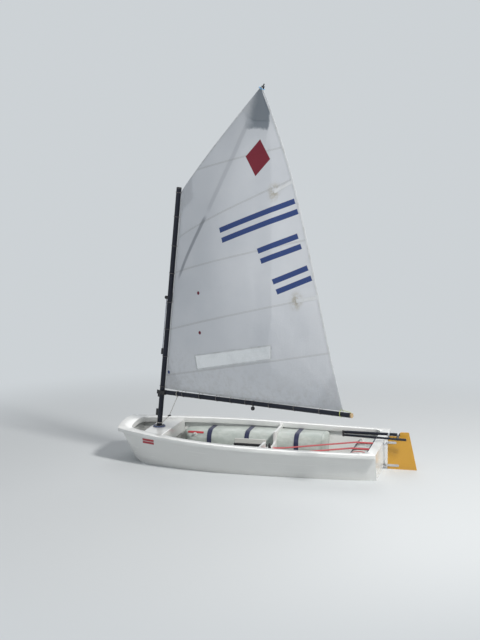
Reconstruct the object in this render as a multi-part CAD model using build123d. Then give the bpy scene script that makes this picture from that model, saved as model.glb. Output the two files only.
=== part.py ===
from build123d import *
import os
from math import atan2, cos, degrees, radians, sin, sqrt, tan

# Sailing dinghy with a square bow, a free standing mast and a sprit sail.
# Millimetres. +X is forward, +Y is port, +Z is up.
# The origin is on the centreline, amidships, at the waterline.

# Hull
hull_length = 2300.0
stern_x = -hull_length / 2
bow_x = hull_length / 2
skin = 8.0
rail_stern_half = 507.0
rail_mid_half = 564.0
rail_bow_half = 292.0
rail_mid_slope = -0.0148
sheer_stern_z = 236.0
sheer_mid_z = 250.0
sheer_bow_z = 297.0
bow_crown = 43.0
crown_half = 262.0
crown_run = 325.0
bow_rake = 110.0
bow_foot_z = 35.0
bow_foot_half = 218.0
hull_depth = 128.0
side_flare = 87.0
# Shares: place along the half length, then of side_flare and of hull_depth
stations = [
    dict(at=-1.0, flare=0.83, depth=0.484),
    dict(at=-0.52, flare=0.94, depth=0.844),
    dict(at=0.0, flare=1.0, depth=1.0),
    dict(at=0.35, flare=0.85, depth=0.875),
    dict(at=0.65, flare=0.69, depth=0.453),
]

# Gunwale: a flat flange, a rounded rubbing bead outside and a lip inside
flange_thickness = 6.0
bead_width = 28.0
bead_depth = 30.0
bead_overhang = 30.0
stern_overhang = 2.0
bow_corner = 45.0
stern_corner = 12.0
lip_thickness = 6.0
lip_depth = 44.0
well_stern_inset = 75.0
bow_deck = 104.0
side_deck_stern = 77.0
side_deck_mid = 76.0
side_deck_thwart = 99.0
well_corner = 80.0

# Mast thwart
bow_well_length = 400.0
thwart_length = 205.0
thwart_aft_x = bow_x - bow_well_length
thwart_front_x = thwart_aft_x + thwart_length
thwart_top_z = 265.0
thwart_plate = 18.0
thwart_round = 6.0
apron_depth = 110.0
apron_thickness = 14.0

# Mast and its supports
mast_from_thwart = 130.0
mast_x = thwart_aft_x + mast_from_thwart
mast_z = 262.0
mast_rake = 5.75
mast_diameter = 45.0
mast_wall = 3.0
mast_top = 2150.0
mast_heel = -252.0
mast_clearance = 0.6
plug_height = 15.0
collar_diameter = 84.0
collar_height = 12.0
step_length = 120.0
step_width = 110.0
step_top_z = 58.0

# Midship frame and daggerboard trunk
frame_aft_x = -156.0
frame_thickness = 22.0
frame_mid_z = 118.0
frame_drain = 34.0
frame_drain_y = 110.0
frame_over_bag = 30.0
frame_mid_half = 190.0
frame_corner = 30.0
knee_width = 70.0
trunk_length = 330.0
trunk_width = 42.0
trunk_top_z = 132.0
slot_length = 300.0
slot_width = 20.0
board_width = 285.0
board_length = 1067.0
board_thickness = 14.5
board_corner = 60.0
board_stop_height = 22.0
board_stop_length = 300.0
board_stop_width = 38.0
board_head = 40.0
board_stop_gap = 0.4

# Buoyancy bags
bag_gap = 0.8
bag_sink = 60.0
bag_edge = 30.0
side_bag_front_gap = 15.0
side_bag_length = 1335.0
side_bag_inner_y = 240.0
side_bag_top_z = 192.0
side_bag_round = 85.0
stern_bag_length = 280.0
stern_bag_half = 330.0
stern_bag_top_z = 184.0
stern_bag_round = 80.0
strap_width = 42.0
strap_thickness = 2.0
side_strap_shares = [0.19, 0.455, 0.8]
stern_band_width = 45.0
stern_band_length = 90.0
stern_tape_width = 24.0
stern_tape_length = 255.0
stern_tape_y = 75.0

# Hiking straps
hiking_y = 110.0
hiking_width = 48.0
hiking_thickness = 3.0
hiking_rise = 1.0

# Rig, in the plane of the sail: x aft from the mast axis, z up along it, y to windward
sail_swing = 22.0
boom_diameter = 40.0
boom_wall = 2.0
boom_z = 323.0
boom_rise = 6.2
boom_start = 44.0
boom_end = 1966.0
sprit_diameter = 27.0
sprit_wall = 1.5
sprit_heel = (-46.0, 45.0, 1082.0)
sail_tack = (34.0, 0.0, 362.0)
sail_throat = (34.0, 0.0, 2132.0)
sail_clew = (1888.0, 0.0, 557.0)
sail_peak = (832.0, -62.0, 3070.0)
sail_thickness = 1.6
sail_roach = 74.0
sail_foot_round = 7.0
sail_depth = 0.095

luff_tie_zs = [378.0, 656.0, 903.0, 1146.0, 1405.0, 1649.0, 1906.0, 2118.0]
foot_tie_xs = [250.0, 440.0, 626.0, 780.0, 937.0, 1180.0, 1430.0, 1680.0]
tie_cord = 1.6
tie_slack = 0.3
tie_edge = 8.0
outhaul_cord = 2.0
peak_cord = 2.5
line_radius = 2.5
boom_block_x = 1008.0
block_radius = 17.0
block_width = 14.0
vang_boom_x = 181.0
vang_mast_z = 42.0
vang_lash = 3.0
vang_toggle_at = (106.0, 0.0, 126.0)
toggle_radius = 7.0
toggle_length = 36.0
sprit_block_z = 1180.0
sprit_line_bend = (-68.0, 40.0, 1075.0)
cleat_length = 54.0
cleat_width = 16.0
cleat_proud = 18.0
# Shares: place up the mast, then of cleat_length, cleat_width and cleat_proud
cleats = [
    dict(up=0.321, length=1.0, width=1.0, proud=1.0),
    dict(up=0.138, length=0.89, width=1.35, proud=0.78),
    dict(up=0.061, length=1.1, width=1.0, proud=1.1),
]
safety_cord = 6.0

# Rudder and tiller
pintle_stand_length = 30.0
pintle_x = stern_x - pintle_stand_length
pintle_radius = 4.0
pintle_clearance = 0.08
gudgeon_zs = [216.0, 16.0]
gudgeon_plate = 3.0
gudgeon_width = 60.0
gudgeon_height = 26.0
pintle_height = 20.0
pintle_lengths = [75.0, 100.0]
pintle_gap = 0.5
blade_gap = 10.0
blade_thickness = 15.0
blade_notch_z = 288.0
blade_notch_length = 113.0
blade_top_z = 325.0
blade_head_length = 190.0
blade_width = 270.0
blade_depth = 470.0
blade_corner = 12.0
# Shares of blade_width behind the pintles and of blade_depth under the water, down the aft edge
blade_curve = [
    dict(back=0.97, down=0.0),
    dict(back=1.0, down=0.36),
    dict(back=0.91, down=0.70),
    dict(back=0.735, down=0.915),
    dict(back=0.407, down=1.0),
    dict(back=0.163, down=0.905),
]
blade_front_low = 0.68
tiller_z = 303.0
tiller_diameter = 25.0
tiller_wall = 2.0
tiller_reach = 360.0
tiller_front_x = pintle_x + tiller_reach
tiller_aft_x = pintle_x - blade_notch_length + 2.0
clamp_backs = [18.0, 98.0]
clamp_length = 14.0
clamp_wall = 2.5
clamp_low_z = 262.0
extension_diameter = 19.0
extension_wall = 1.5
extension_length = 548.0
extension_fold = 173.0
extension_drop = 27.0
extension_neck = 14.0
grip_length = 130.0
joint_pin_radius = 3.0
joint_radius = 11.0

# Cutters reach this far, past every piece they cut
beyond = hull_length


# Plan outline: two tangent arcs a side that meet amidships
def tangent_arc(mid_half, target):
    start = Vector(0, mid_half)
    inward = Vector(rail_mid_slope, -1).normalized()
    reach = Vector(*target) - start
    radius = reach.length**2 / (2 * reach.dot(inward))
    return start + inward * radius, radius


class Side:
    def __init__(self, mid_half, aft_target, fore_target):
        self.aft = tangent_arc(mid_half, aft_target)
        self.fore = tangent_arc(mid_half, fore_target)

    def half(self, x, inset=0.0):
        centre, radius = self.aft if x < 0 else self.fore
        return centre.Y + sqrt((radius - inset) ** 2 - (x - centre.X) ** 2)

    def face(self, aft_x, front_x, inset=0.0, front_corner=0.0, aft_corner=0.0):
        xs = [aft_x, aft_x / 2, 0.0, front_x / 2, front_x]
        port = [(x, self.half(x, inset)) for x in xs]
        stbd = [(x, -y) for x, y in port]
        edges = [
            ThreePointArc(port[0], port[1], port[2]),
            ThreePointArc(port[2], port[3], port[4]),
            Line(port[4], stbd[4]),
            ThreePointArc(stbd[4], stbd[3], stbd[2]),
            ThreePointArc(stbd[2], stbd[1], stbd[0]),
            Line(stbd[0], port[0]),
        ]
        outline = make_face(edges)
        for x, corner in ((front_x, front_corner), (aft_x, aft_corner)):
            if corner > 0:
                picked = [v for v in outline.vertices() if abs(v.X - x) < 1e-3]
                outline = fillet(picked, corner)
        return outline


rail = Side(rail_mid_half, (stern_x, rail_stern_half), (bow_x, rail_bow_half))
thwart_mid_x = thwart_aft_x + thwart_length / 2
well = Side(
    rail_mid_half - side_deck_mid,
    (stern_x, rail_stern_half - side_deck_stern),
    (thwart_mid_x, rail.half(thwart_mid_x) - side_deck_thwart),
)


# Sheer: one arc in the upright plane through stern, middle and bow
def sheer_slab(high, low):
    reach = bow_x * 1.5
    ends = []
    for offset in (high, low):
        middle = (0.0, sheer_mid_z + offset)
        points = [(x, sheer_z(x) + offset) for x in (-reach, reach)]
        ends.append((points[0], middle, points[1]))
    top, bottom = ends
    outline = make_face(
        [
            ThreePointArc(*top),
            Line(top[2], bottom[2]),
            ThreePointArc(*bottom),
            Line(bottom[0], top[0]),
        ]
    )
    upright = Plane.XZ * outline
    return extrude(upright, amount=rail_mid_half * 2, both=True)


def sheer_circle():
    middle = Vector(0, sheer_mid_z)
    aft = Vector(stern_x, sheer_stern_z)
    fore = Vector(bow_x, sheer_bow_z)
    a = aft - middle
    b = fore - middle
    cross = 2 * (a.X * b.Y - a.Y * b.X)
    x = (b.Y * a.length**2 - a.Y * b.length**2) / cross
    y = (a.X * b.length**2 - b.X * a.length**2) / cross
    return middle + Vector(x, y), Vector(x, y).length


sheer_centre, sheer_radius = sheer_circle()


def sheer_z(x):
    return sheer_centre.Y - sqrt(sheer_radius**2 - (x - sheer_centre.X) ** 2)


# What lies under the deck: the sheer, with a crown over the bow
def under_deck(offset):
    high_x = bow_x + bead_overhang
    low_x = high_x - crown_run
    top = Vector(high_x, 0, sheer_z(high_x) + bow_crown)
    start = Vector(low_x, 0, sheer_z(low_x))
    along = (top - start).normalized()
    radius = (crown_half**2 + bow_crown**2) / (2 * bow_crown)
    down = Vector(along.Z, 0, -along.X)
    foot = start + down * radius - along * crown_run
    crown = Solid.make_cylinder(radius + offset, 4 * crown_run, Plane(origin=foot, z_dir=along))
    return sheer_slab(offset, -beyond) + crown


# Hull body: flat bottom, straight flared sides, raked bow transom
hull_rise = 80.0


def station_wire(x, sheer_half, chine_half, chine_z, inset):
    top = sheer_z(x)
    slope = (sheer_half - chine_half) / (top - chine_z)
    side = inset / cos(atan2(sheer_half - chine_half, top - chine_z))
    low = chine_z + inset
    high = top + hull_rise
    low_half = chine_half + slope * inset - side
    high_half = sheer_half + slope * hull_rise - side
    return [(x, -high_half, high), (x, -low_half, low), (x, low_half, low), (x, high_half, high)]


def bow_wire(inset):
    foot_x = bow_x - bow_rake
    top_half = rail.half(bow_x) - bead_overhang
    climb_all = sheer_bow_z - bow_foot_z
    rake = bow_rake / climb_all
    slope = (top_half - bow_foot_half) / climb_all
    back = inset / cos(atan2(rake, 1))
    rows = []
    for z in (sheer_bow_z + hull_rise, bow_foot_z + inset):
        climb = z - bow_foot_z
        rows.append((foot_x + rake * climb - back, bow_foot_half + slope * climb - inset, z))
    high, low = rows
    return [(high[0], -high[1], high[2]), (low[0], -low[1], low[2]), low, high]


def hull_body(inset):
    wires = []
    for row in stations:
        x = row["at"] * bow_x
        half = rail.half(x) - bead_overhang
        shifted = x + inset if row["at"] == -1.0 else x
        chine_half = half - side_flare * row["flare"]
        wires.append(station_wire(shifted, half, chine_half, -hull_depth * row["depth"], inset))
    wires.append(bow_wire(inset))
    return Solid.make_loft([Wire.make_polygon([Vector(*p) for p in w], close=True) for w in wires])


outer = hull_body(0.0)
inner = hull_body(skin)
inside = hull_body(skin + bag_gap)
below_rail = sheer_slab(-flange_thickness, -beyond)

slot_front_x = frame_aft_x + frame_thickness + (trunk_length + slot_length) / 2
slot_mid_x = slot_front_x - slot_length / 2
slot_bar = Pos(slot_mid_x, 0, 0) * Box(slot_length, slot_width, beyond)


def hull_shell():
    return ((outer - inner) & under_deck(-flange_thickness)) - slot_bar


def ring(outline_a, outline_b, depth):
    tall = extrude(outline_a, amount=beyond / 4, both=True) - extrude(outline_b, amount=beyond / 3, both=True)
    return (tall & under_deck(0.0)) - under_deck(-depth)


rail_front_x = bow_x + bead_overhang
rail_aft_x = stern_x - stern_overhang
well_front_x = rail_front_x - bow_deck
well_aft_x = stern_x + well_stern_inset


def well_face(inset=0.0):
    return well.face(well_aft_x + inset, well_front_x - inset, inset, well_corner - inset, well_corner - inset)


def gunwale():
    edge = rail.face(rail_aft_x, rail_front_x, 0.0, bow_corner, stern_corner)
    core = rail.face(rail_aft_x - bead_width, rail_front_x - bead_width, bead_width)
    flange = ring(edge, well_face(), flange_thickness)
    bead = ring(edge, core, bead_depth) - outer
    lip = ring(well_face(-lip_thickness), well_face(), lip_depth)
    return flange + bead + lip


def mast_plane():
    rake = radians(mast_rake)
    swing = radians(sail_swing)
    up = Vector(-sin(rake), 0, cos(rake))
    aft = Vector(-cos(swing), sin(swing), 0)
    aft = (aft - up * aft.dot(up)).normalized()
    return Plane(origin=(mast_x, 0, mast_z), x_dir=aft, z_dir=up)


rig_plane = mast_plane()


def on_rig(shape):
    return rig_plane.location * shape


def tube(start, end, radius, wall=0.0):
    start = Vector(*start)
    reach = Vector(*end) - start
    spot = Plane(origin=start, z_dir=reach.normalized())
    solid = Solid.make_cylinder(radius, reach.length, spot)
    if wall > 0:
        bore = Solid.make_cylinder(radius - wall, reach.length, spot)
        solid = solid - bore
    return solid


def mast_bore():
    return on_rig(Cylinder(mast_diameter / 2 + mast_clearance, beyond / 4))


def mast_thwart():
    length = thwart_length
    mid_x = thwart_mid_x
    block = Pos(mid_x, 0, thwart_top_z - apron_depth / 2) * Box(length, 2 * rail_mid_half, apron_depth)
    hollow_depth = apron_depth - thwart_plate
    hollow_z = thwart_top_z - thwart_plate - hollow_depth / 2
    hollow = Pos(mid_x, 0, hollow_z) * Box(length - 2 * apron_thickness, 2 * rail_mid_half, hollow_depth)
    edges = block.edges().filter_by(Axis.Y).group_by(Axis.Z)[-1]
    block = fillet(edges, thwart_round) - hollow
    block = block & extrude(well_face(), amount=beyond)
    return block - mast_bore()


mast_at_thwart_x = mast_x - tan(radians(mast_rake)) * (thwart_top_z - mast_z)


def mast_collar():
    disc = Cylinder(collar_diameter / 2, collar_height, align=(Align.CENTER, Align.CENTER, Align.MIN))
    disc = fillet(disc.edges().group_by(Axis.Z)[-1], collar_height / 4)
    return Pos(mast_at_thwart_x, 0, thwart_top_z) * disc - mast_bore()


def mast_step():
    x = mast_x - sin(radians(mast_rake)) * mast_heel
    block = Pos(x, 0, step_top_z - beyond / 8) * Box(step_length, step_width, beyond / 4)
    block = fillet(block.edges().filter_by(Axis.Z), step_length / 10)
    block = fillet(block.edges().group_by(Axis.Z)[-1], step_length / 15)
    block = block & inner
    bore = Pos(0, 0, mast_heel - mast_clearance) * Cylinder(
        mast_diameter / 2 + mast_clearance, beyond / 4, align=(Align.CENTER, Align.CENTER, Align.MIN)
    )
    return block - on_rig(bore)


# Midship frame, trunk and board
side_bag_front_x = thwart_aft_x - side_bag_front_gap
side_bag_aft_x = side_bag_front_x - side_bag_length
stern_bag_front_x = stern_x + stern_bag_length


def side_bag_form(side, grow):
    low = -hull_depth - bag_sink
    height = side_bag_top_z + grow - low
    width = rail_mid_half + bag_sink - side_bag_inner_y + grow
    block = Box(side_bag_length + 2 * grow, width, height, align=(Align.CENTER, Align.MIN, Align.MIN))
    edges = [e for e in block.edges().filter_by(Axis.X) if e.center().Y < 1 and e.center().Z > height / 2]
    edges += [e for e in block.edges().filter_by(Axis.Z) if e.center().Y < 1]
    block = fillet(edges, side_bag_round + grow)
    block = fillet(block.edges().group_by(Axis.Z)[-1], bag_edge + grow)
    block = Pos((side_bag_front_x + side_bag_aft_x) / 2, side_bag_inner_y - grow, low) * block
    return block if side > 0 else block.mirror(Plane.XZ)


def stern_bag_form(grow):
    low = -hull_depth - bag_sink
    length = stern_bag_length + bag_sink + grow
    height = stern_bag_top_z + grow - low
    width = 2 * (stern_bag_half + grow)
    block = Box(length, width, height, align=(Align.MAX, Align.CENTER, Align.MIN))
    edges = [e for e in block.edges().filter_by(Axis.Y) if e.center().X > -1 and e.center().Z > height / 2]
    edges += [e for e in block.edges().filter_by(Axis.Z) if e.center().X > -1]
    block = fillet(edges, stern_bag_round + grow)
    block = fillet(block.edges().group_by(Axis.Z)[-1], bag_edge + grow)
    return Pos(stern_bag_front_x + grow, 0, low) * block


def buoyancy_bag(form):
    return form & inside & below_rail


def midship_frame():
    x = frame_aft_x
    plate = Pos(x + frame_thickness / 2, 0, 0) * Box(frame_thickness, beyond, beyond)
    plate = plate & inner & below_rail
    arch_half = rail_mid_half - knee_width - bead_overhang
    for half, low in ((arch_half, side_bag_top_z + frame_over_bag), (frame_mid_half, frame_mid_z)):
        arch = Box(5 * frame_thickness, 2 * half, beyond, align=(Align.CENTER, Align.CENTER, Align.MIN))
        arch = fillet(arch.edges().filter_by(Axis.X).group_by(Axis.Z)[0], frame_corner)
        plate = plate - Pos(x, 0, low) * arch
    for side in (1, -1):
        plate = plate - side_bag_form(side, bag_gap)
        drain = Cylinder(frame_drain / 2, 5 * frame_thickness, rotation=(0, 90, 0))
        plate = plate - Pos(x, side * frame_drain_y, skin - hull_depth) * drain
    return plate - gunwale()


def daggerboard_trunk():
    front_x = frame_aft_x + frame_thickness + trunk_length
    block = Pos(front_x - trunk_length / 2, 0, trunk_top_z - beyond / 8) * Box(trunk_length, trunk_width, beyond / 4)
    block = fillet(block.edges().filter_by(Axis.Z).group_by(Axis.X)[-1], trunk_width / 3)
    return (block & inner) - slot_bar


board_top_z = trunk_top_z + board_stop_height + board_head
board_foot_z = board_top_z - board_length


def daggerboard():
    board = Pos(slot_mid_x, 0, (board_top_z + board_foot_z) / 2) * Box(board_width, board_thickness, board_length)
    low_edges = board.edges().filter_by(Axis.Y).group_by(Axis.Z)[0]
    board = fillet(low_edges, board_corner)
    long_edges = board.edges().filter_by(Axis.Z)
    return fillet(long_edges, board_thickness * 0.3)


def board_stop():
    stop = Box(board_stop_length, board_stop_width, board_stop_height, align=(Align.CENTER, Align.CENTER, Align.MIN))
    stop = fillet(stop.edges().filter_by(Axis.Z), board_stop_width / 4)
    stop = fillet(stop.edges().group_by(Axis.Z)[-1], board_stop_height / 4)
    stop = Pos(slot_mid_x, 0, trunk_top_z + board_stop_gap) * stop
    return stop - daggerboard()


def side_bag_strap(side):
    sleeve = side_bag_form(side, bag_gap + strap_thickness) - side_bag_form(side, bag_gap)
    bands = []
    for share in side_strap_shares:
        x = side_bag_front_x - share * side_bag_length
        bands.append(Pos(x, side * beyond / 2, 0) * Box(strap_width, beyond, beyond))
    cut = bands[0] + bands[1] + bands[2]
    return (sleeve & cut) & inside & below_rail


def stern_bag_strap():
    sleeve = stern_bag_form(bag_gap + strap_thickness) - stern_bag_form(bag_gap)
    cut = Pos(stern_x + stern_band_length, 0, 0) * Box(stern_band_width, beyond, beyond)
    cut = cut + Pos(stern_x + stern_tape_length, 0, 0) * Box(stern_tape_width, beyond, beyond)
    cut = cut + Pos(stern_x, stern_tape_y, 0) * Box(beyond, stern_tape_width, beyond)
    return (sleeve & cut) & inside & below_rail


def hiking_straps():
    height = stern_bag_top_z + bag_gap + strap_thickness + hiking_rise
    low = frame_mid_z - hiking_width / 2
    points = [
        (frame_aft_x, low),
        (frame_aft_x - 2 * hiking_width, low + 2 * hiking_thickness),
        (stern_bag_front_x - frame_thickness, height),
        (stern_x + skin, height),
    ]
    lower = Polyline(*points)
    upper = Polyline(*[(x, z + hiking_thickness) for x, z in reversed(points)])
    outline = make_face([*lower.edges(), Line(points[-1], upper @ 0), *upper.edges(), Line(upper @ 1, points[0])])
    strap = extrude(Plane.XZ * outline, amount=hiking_width / 2, both=True)
    return [Pos(0, side * hiking_y, 0) * strap for side in (1, -1)]


# Rig pieces
def boom_height(x):
    return boom_z + tan(radians(boom_rise)) * x


def mast():
    return on_rig(tube((0, 0, mast_heel), (0, 0, mast_top), mast_diameter / 2, mast_wall))


def mast_top_plug():
    low, high = (0, 0, mast_top), (0, 0, mast_top + plug_height)
    plug = tube(low, high, mast_diameter / 2)
    plug = fillet(plug.edges().group_by(Axis.Z)[-1], plug_height / 2.5)
    stem = tube((0, 0, mast_top - plug_height), low, mast_diameter / 2 - mast_wall)
    return on_rig(plug + stem)


def boom():
    a = (boom_start, 0, boom_height(boom_start))
    b = (boom_end, 0, boom_height(boom_end))
    return on_rig(tube(a, b, boom_diameter / 2, boom_wall))


def boom_rod():
    a = (boom_start, 0, boom_height(boom_start))
    b = (boom_end, 0, boom_height(boom_end))
    return on_rig(tube(a, b, boom_diameter / 2))


def boom_end_plug():
    a = (boom_end - 30, 0, boom_height(boom_end - 30))
    b = (boom_end, 0, boom_height(boom_end))
    c = (boom_end + 10, 0, boom_height(boom_end + 10))
    return on_rig(tube(a, b, boom_diameter / 2 - boom_wall) + tube(b, c, boom_diameter / 2))


def boom_jaws():
    slope = -boom_rise
    radius = mast_diameter / 2
    body = Box(boom_start + 46, 2 * radius + 22, 34, align=(Align.MAX, Align.CENTER, Align.CENTER))
    body = Pos(boom_start + 6, 0, 0) * body
    body = fillet(body.edges().filter_by(Axis.Z).group_by(Axis.X)[0], 12)
    body = fillet(body.edges().filter_by(Axis.Z).group_by(Axis.X)[-1], 10)
    mouth = Cylinder(radius + 0.5, beyond / 20) + Pos(-mast_diameter, 0, 0) * Box(2 * mast_diameter, 2 * radius + 1, beyond / 20)
    body = Pos(0, 0, boom_z) * (body - mouth)
    stem = tube(
        (boom_start - 18, 0, boom_height(boom_start - 18)),
        (boom_start + 50, 0, boom_height(boom_start + 50)),
        boom_diameter / 2 - boom_wall,
    )
    return on_rig(body + stem) - boom()


def sprit():
    return on_rig(tube(sprit_heel, sprit_tip(), sprit_diameter / 2, sprit_wall))


def sprit_tip():
    return (sail_peak[0] - 2, sail_peak[1] + 22, sail_peak[2] - 4)


def sprit_ends():
    heel = Vector(*sprit_heel)
    tip = Vector(*sprit_tip())
    along = (tip - heel).normalized()
    inner_radius = sprit_diameter / 2 - sprit_wall
    pieces = []
    for end, out in ((heel, -along), (tip, along)):
        cap = end + out * sprit_diameter / 4
        stem = tube(end - out * sprit_diameter, end, inner_radius)
        peg = tube(cap, cap + out * sprit_diameter * 0.75, sprit_diameter / 5)
        pieces.append(on_rig(stem + tube(end, cap, sprit_diameter / 2) + peg))
    return pieces


def sail_point(u, v):
    tack, throat = Vector(*sail_tack), Vector(*sail_throat)
    clew, peak = Vector(*sail_clew), Vector(*sail_peak)
    luff = tack + (throat - tack) * v
    outward = Vector(0.92, 0, 0.39)
    leech = clew + (peak - clew) * v + outward * sail_roach * sin(radians(180 * v**1.65))
    chord = leech - luff
    foot = sail_foot_round * sin(radians(180 * u)) * (1 - v) ** 6
    fullness = sin(radians(166 * v**0.75))
    depth = sail_depth * chord.length * fullness * sin(radians(180 * u**0.8))
    return luff + chord * u - Vector(0, depth, foot)


def sail():
    steps = 12
    rows = [[sail_point(i / steps, j / steps) for i in range(steps + 1)] for j in range(steps + 1)]
    skin_face = Face.make_surface_from_array_of_points(rows, tol=0.05, max_deg=5)
    return on_rig(Solid.thicken(skin_face, sail_thickness))


def luff_ties():
    eye_x = sail_tack[0] + tie_edge
    radius = (eye_x + mast_diameter / 2 + tie_cord + tie_slack) / 2
    return [on_rig(Pos(eye_x - radius, 0, z) * Torus(radius, tie_cord)) for z in luff_tie_zs]


# A ring square to the boom, round the boom and through the sail's foot
def boom_tie(x, cord):
    rise = radians(boom_rise)
    along = Vector(cos(rise), 0, sin(rise))
    up = Vector(-sin(rise), 0, cos(rise))
    centre = Vector(x, 0, boom_height(x))
    share = (x - sail_tack[0]) / (sail_clew[0] - sail_tack[0])
    eye = (sail_point(share, 0) - centre).dot(up) + tie_edge
    low = boom_diameter / 2 + cord + tie_slack
    radius = (eye + low) / 2
    spot = Plane(origin=centre + up * (radius - low), z_dir=along)
    return spot.location * Torus(radius, cord)


def foot_ties():
    return [on_rig(boom_tie(x, tie_cord)) for x in foot_tie_xs]


def boom_block():
    height = boom_height(boom_block_x)
    top = height - boom_diameter / 2
    across = (0, 90 - boom_rise, 0)
    band = Cylinder(boom_diameter / 2 + 2, block_width, rotation=across)
    band = Pos(boom_block_x, 0, height) * (band - Cylinder(boom_diameter / 2, 2 * block_width, rotation=across))
    body = Pos(boom_block_x, 0, top - 1.5 * block_radius) * Cylinder(block_radius, block_width, rotation=(90, 0, 0))
    body = fillet(body.edges(), block_width / 7)
    neck = Pos(boom_block_x, 0, top - block_radius / 2) * Box(block_width / 2, block_width / 2, block_width)
    return on_rig(band + body + neck)


def lashing_line(points, radius):
    pieces = []
    for a, b in zip(points, points[1:]):
        pieces.append(tube(a, b, radius))
    solid = pieces[0]
    for piece in pieces[1:]:
        solid = solid + piece
    for p in points[1:-1]:
        solid = solid + Pos(*p) * Sphere(radius)
    return solid


def vang_line():
    low_boom = boom_height(vang_boom_x) - boom_diameter / 2 - vang_lash - tie_slack
    lash_mast = Pos(0, 0, vang_mast_z) * Torus(mast_diameter / 2 + vang_lash + tie_slack, vang_lash)
    lash_boom = Pos(vang_boom_x, 0, boom_height(vang_boom_x)) * Torus(
        boom_diameter / 2 + vang_lash + tie_slack, vang_lash, rotation=(0, 90 - boom_rise, 0)
    )
    mast_end = (mast_diameter / 2 + 2 * line_radius, 0, vang_mast_z)
    points = [(vang_boom_x, 0, low_boom), vang_toggle_at, mast_end]
    return on_rig(lashing_line(points, line_radius) + lash_mast + lash_boom)


def vang_toggle():
    knob = Pos(*vang_toggle_at) * Cylinder(toggle_radius, toggle_length, rotation=(90, 0, 0))
    return on_rig(fillet(knob.edges(), toggle_radius / 2.3)) - vang_line()


def cleat(row):
    length = cleat_length * row["length"]
    width = cleat_width * row["width"]
    proud = cleat_proud * row["proud"]
    base = Box(proud + mast_diameter / 4, width, length)
    base = fillet(base.edges().group_by(Axis.X)[0], width / 4)
    return Pos(-mast_diameter / 2 - proud / 2, 0, row["up"] * mast_top) * base


def mast_cleats():
    return [on_rig(cleat(row)) - mast_rod() for row in cleats]


def mast_rod():
    return on_rig(tube((0, 0, mast_heel), (0, 0, mast_top), mast_diameter / 2))


def sprit_block():
    front = -mast_diameter / 2
    eye = Pos(front - 4, 0, sprit_block_z) * Box(20, 12, 2 * block_width)
    wheel = Pos(front - 20, 0, sprit_block_z) * Cylinder(block_radius - 2, block_width, rotation=(90, 0, 0))
    wheel = fillet(wheel.edges(), block_width / 7)
    return on_rig(eye + wheel) - mast_rod()


def sprit_line():
    x = -mast_diameter / 2 - 14
    low = cleats[0]["up"] * mast_top + cleat_length / 2
    fall = tube((x, 0, low), (x, 0, sprit_block_z - 10), line_radius)
    heel = Vector(*sprit_heel)
    along = (Vector(*sprit_tip()) - heel).normalized()
    peg = heel - along * sprit_diameter * 0.65
    points = [(x - 6, 8, sprit_block_z - 12), sprit_line_bend, (peg.X, peg.Y, peg.Z)]
    lines = on_rig(fall + lashing_line(points, line_radius))
    for piece in (sprit_block(), *sprit_ends()):
        lines = lines - piece
    return lines


def outhaul():
    x = sail_clew[0] - 1.5 * tie_edge
    loop = boom_tie(x, outhaul_cord)
    start = (x + 2, 0, boom_height(x) + boom_diameter / 2 + 2 * tie_edge)
    end = (boom_end - 2, 0, boom_height(boom_end) + boom_diameter / 2 + outhaul_cord + tie_slack)
    return on_rig(loop), on_rig(tube(start, end, outhaul_cord))


def peak_tie():
    tip = Vector(*sprit_tip())
    along = (tip - Vector(*sprit_heel)).normalized()
    radius = sprit_diameter / 2 + 11
    centre = tip - along * 14 - Vector(0, radius - sprit_diameter / 2 - peak_cord - tie_slack, 0)
    spot = Plane(origin=centre, z_dir=along)
    return on_rig(spot.location * Torus(radius, peak_cord))


# Rudder, tiller and extension
blade_front_x = pintle_x - blade_gap


def rudder_blade():
    curve = [(pintle_x - blade_width * row["back"], -blade_depth * row["down"]) for row in blade_curve]
    water, belly, quarter, tip_aft, tip, tip_fore = curve
    front_low = (blade_front_x, -blade_depth * blade_front_low)
    notch_x = pintle_x - blade_notch_length
    head = [
        front_low,
        (blade_front_x, blade_notch_z),
        (notch_x, blade_notch_z),
        (notch_x, blade_top_z),
        (pintle_x - blade_head_length, blade_top_z),
        water,
    ]
    edges = [Line(a, b) for a, b in zip(head, head[1:])]
    edges.append(ThreePointArc(water, belly, quarter))
    edges.append(ThreePointArc(quarter, tip_aft, tip))
    edges.append(ThreePointArc(tip, tip_fore, front_low))
    outline = make_face(edges)
    inner_corner = Vector(notch_x, blade_notch_z)
    high = [v for v in outline.vertices() if v.Y > blade_notch_z - 1]
    outline = fillet([v for v in high if (Vector(v) - inner_corner).length > 1], blade_corner)
    return extrude(Plane.XZ * outline, amount=blade_thickness / 2, both=True)


def gudgeon(z):
    plate = Pos(stern_x - gudgeon_plate / 2, 0, z) * Box(gudgeon_plate, gudgeon_width, gudgeon_height)
    plate = fillet(plate.edges().filter_by(Axis.X), gudgeon_height / 4)
    reach = stern_x - pintle_x
    lug = Pos(stern_x - reach / 2, 0, z) * Box(reach, 5 * pintle_radius, 3 * pintle_radius)
    lug = lug + Pos(pintle_x, 0, z) * Cylinder(2.5 * pintle_radius, 3 * pintle_radius)
    return (plate + lug) - Pos(pintle_x, 0, z) * Cylinder(pintle_radius + pintle_clearance, beyond / 20)


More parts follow.
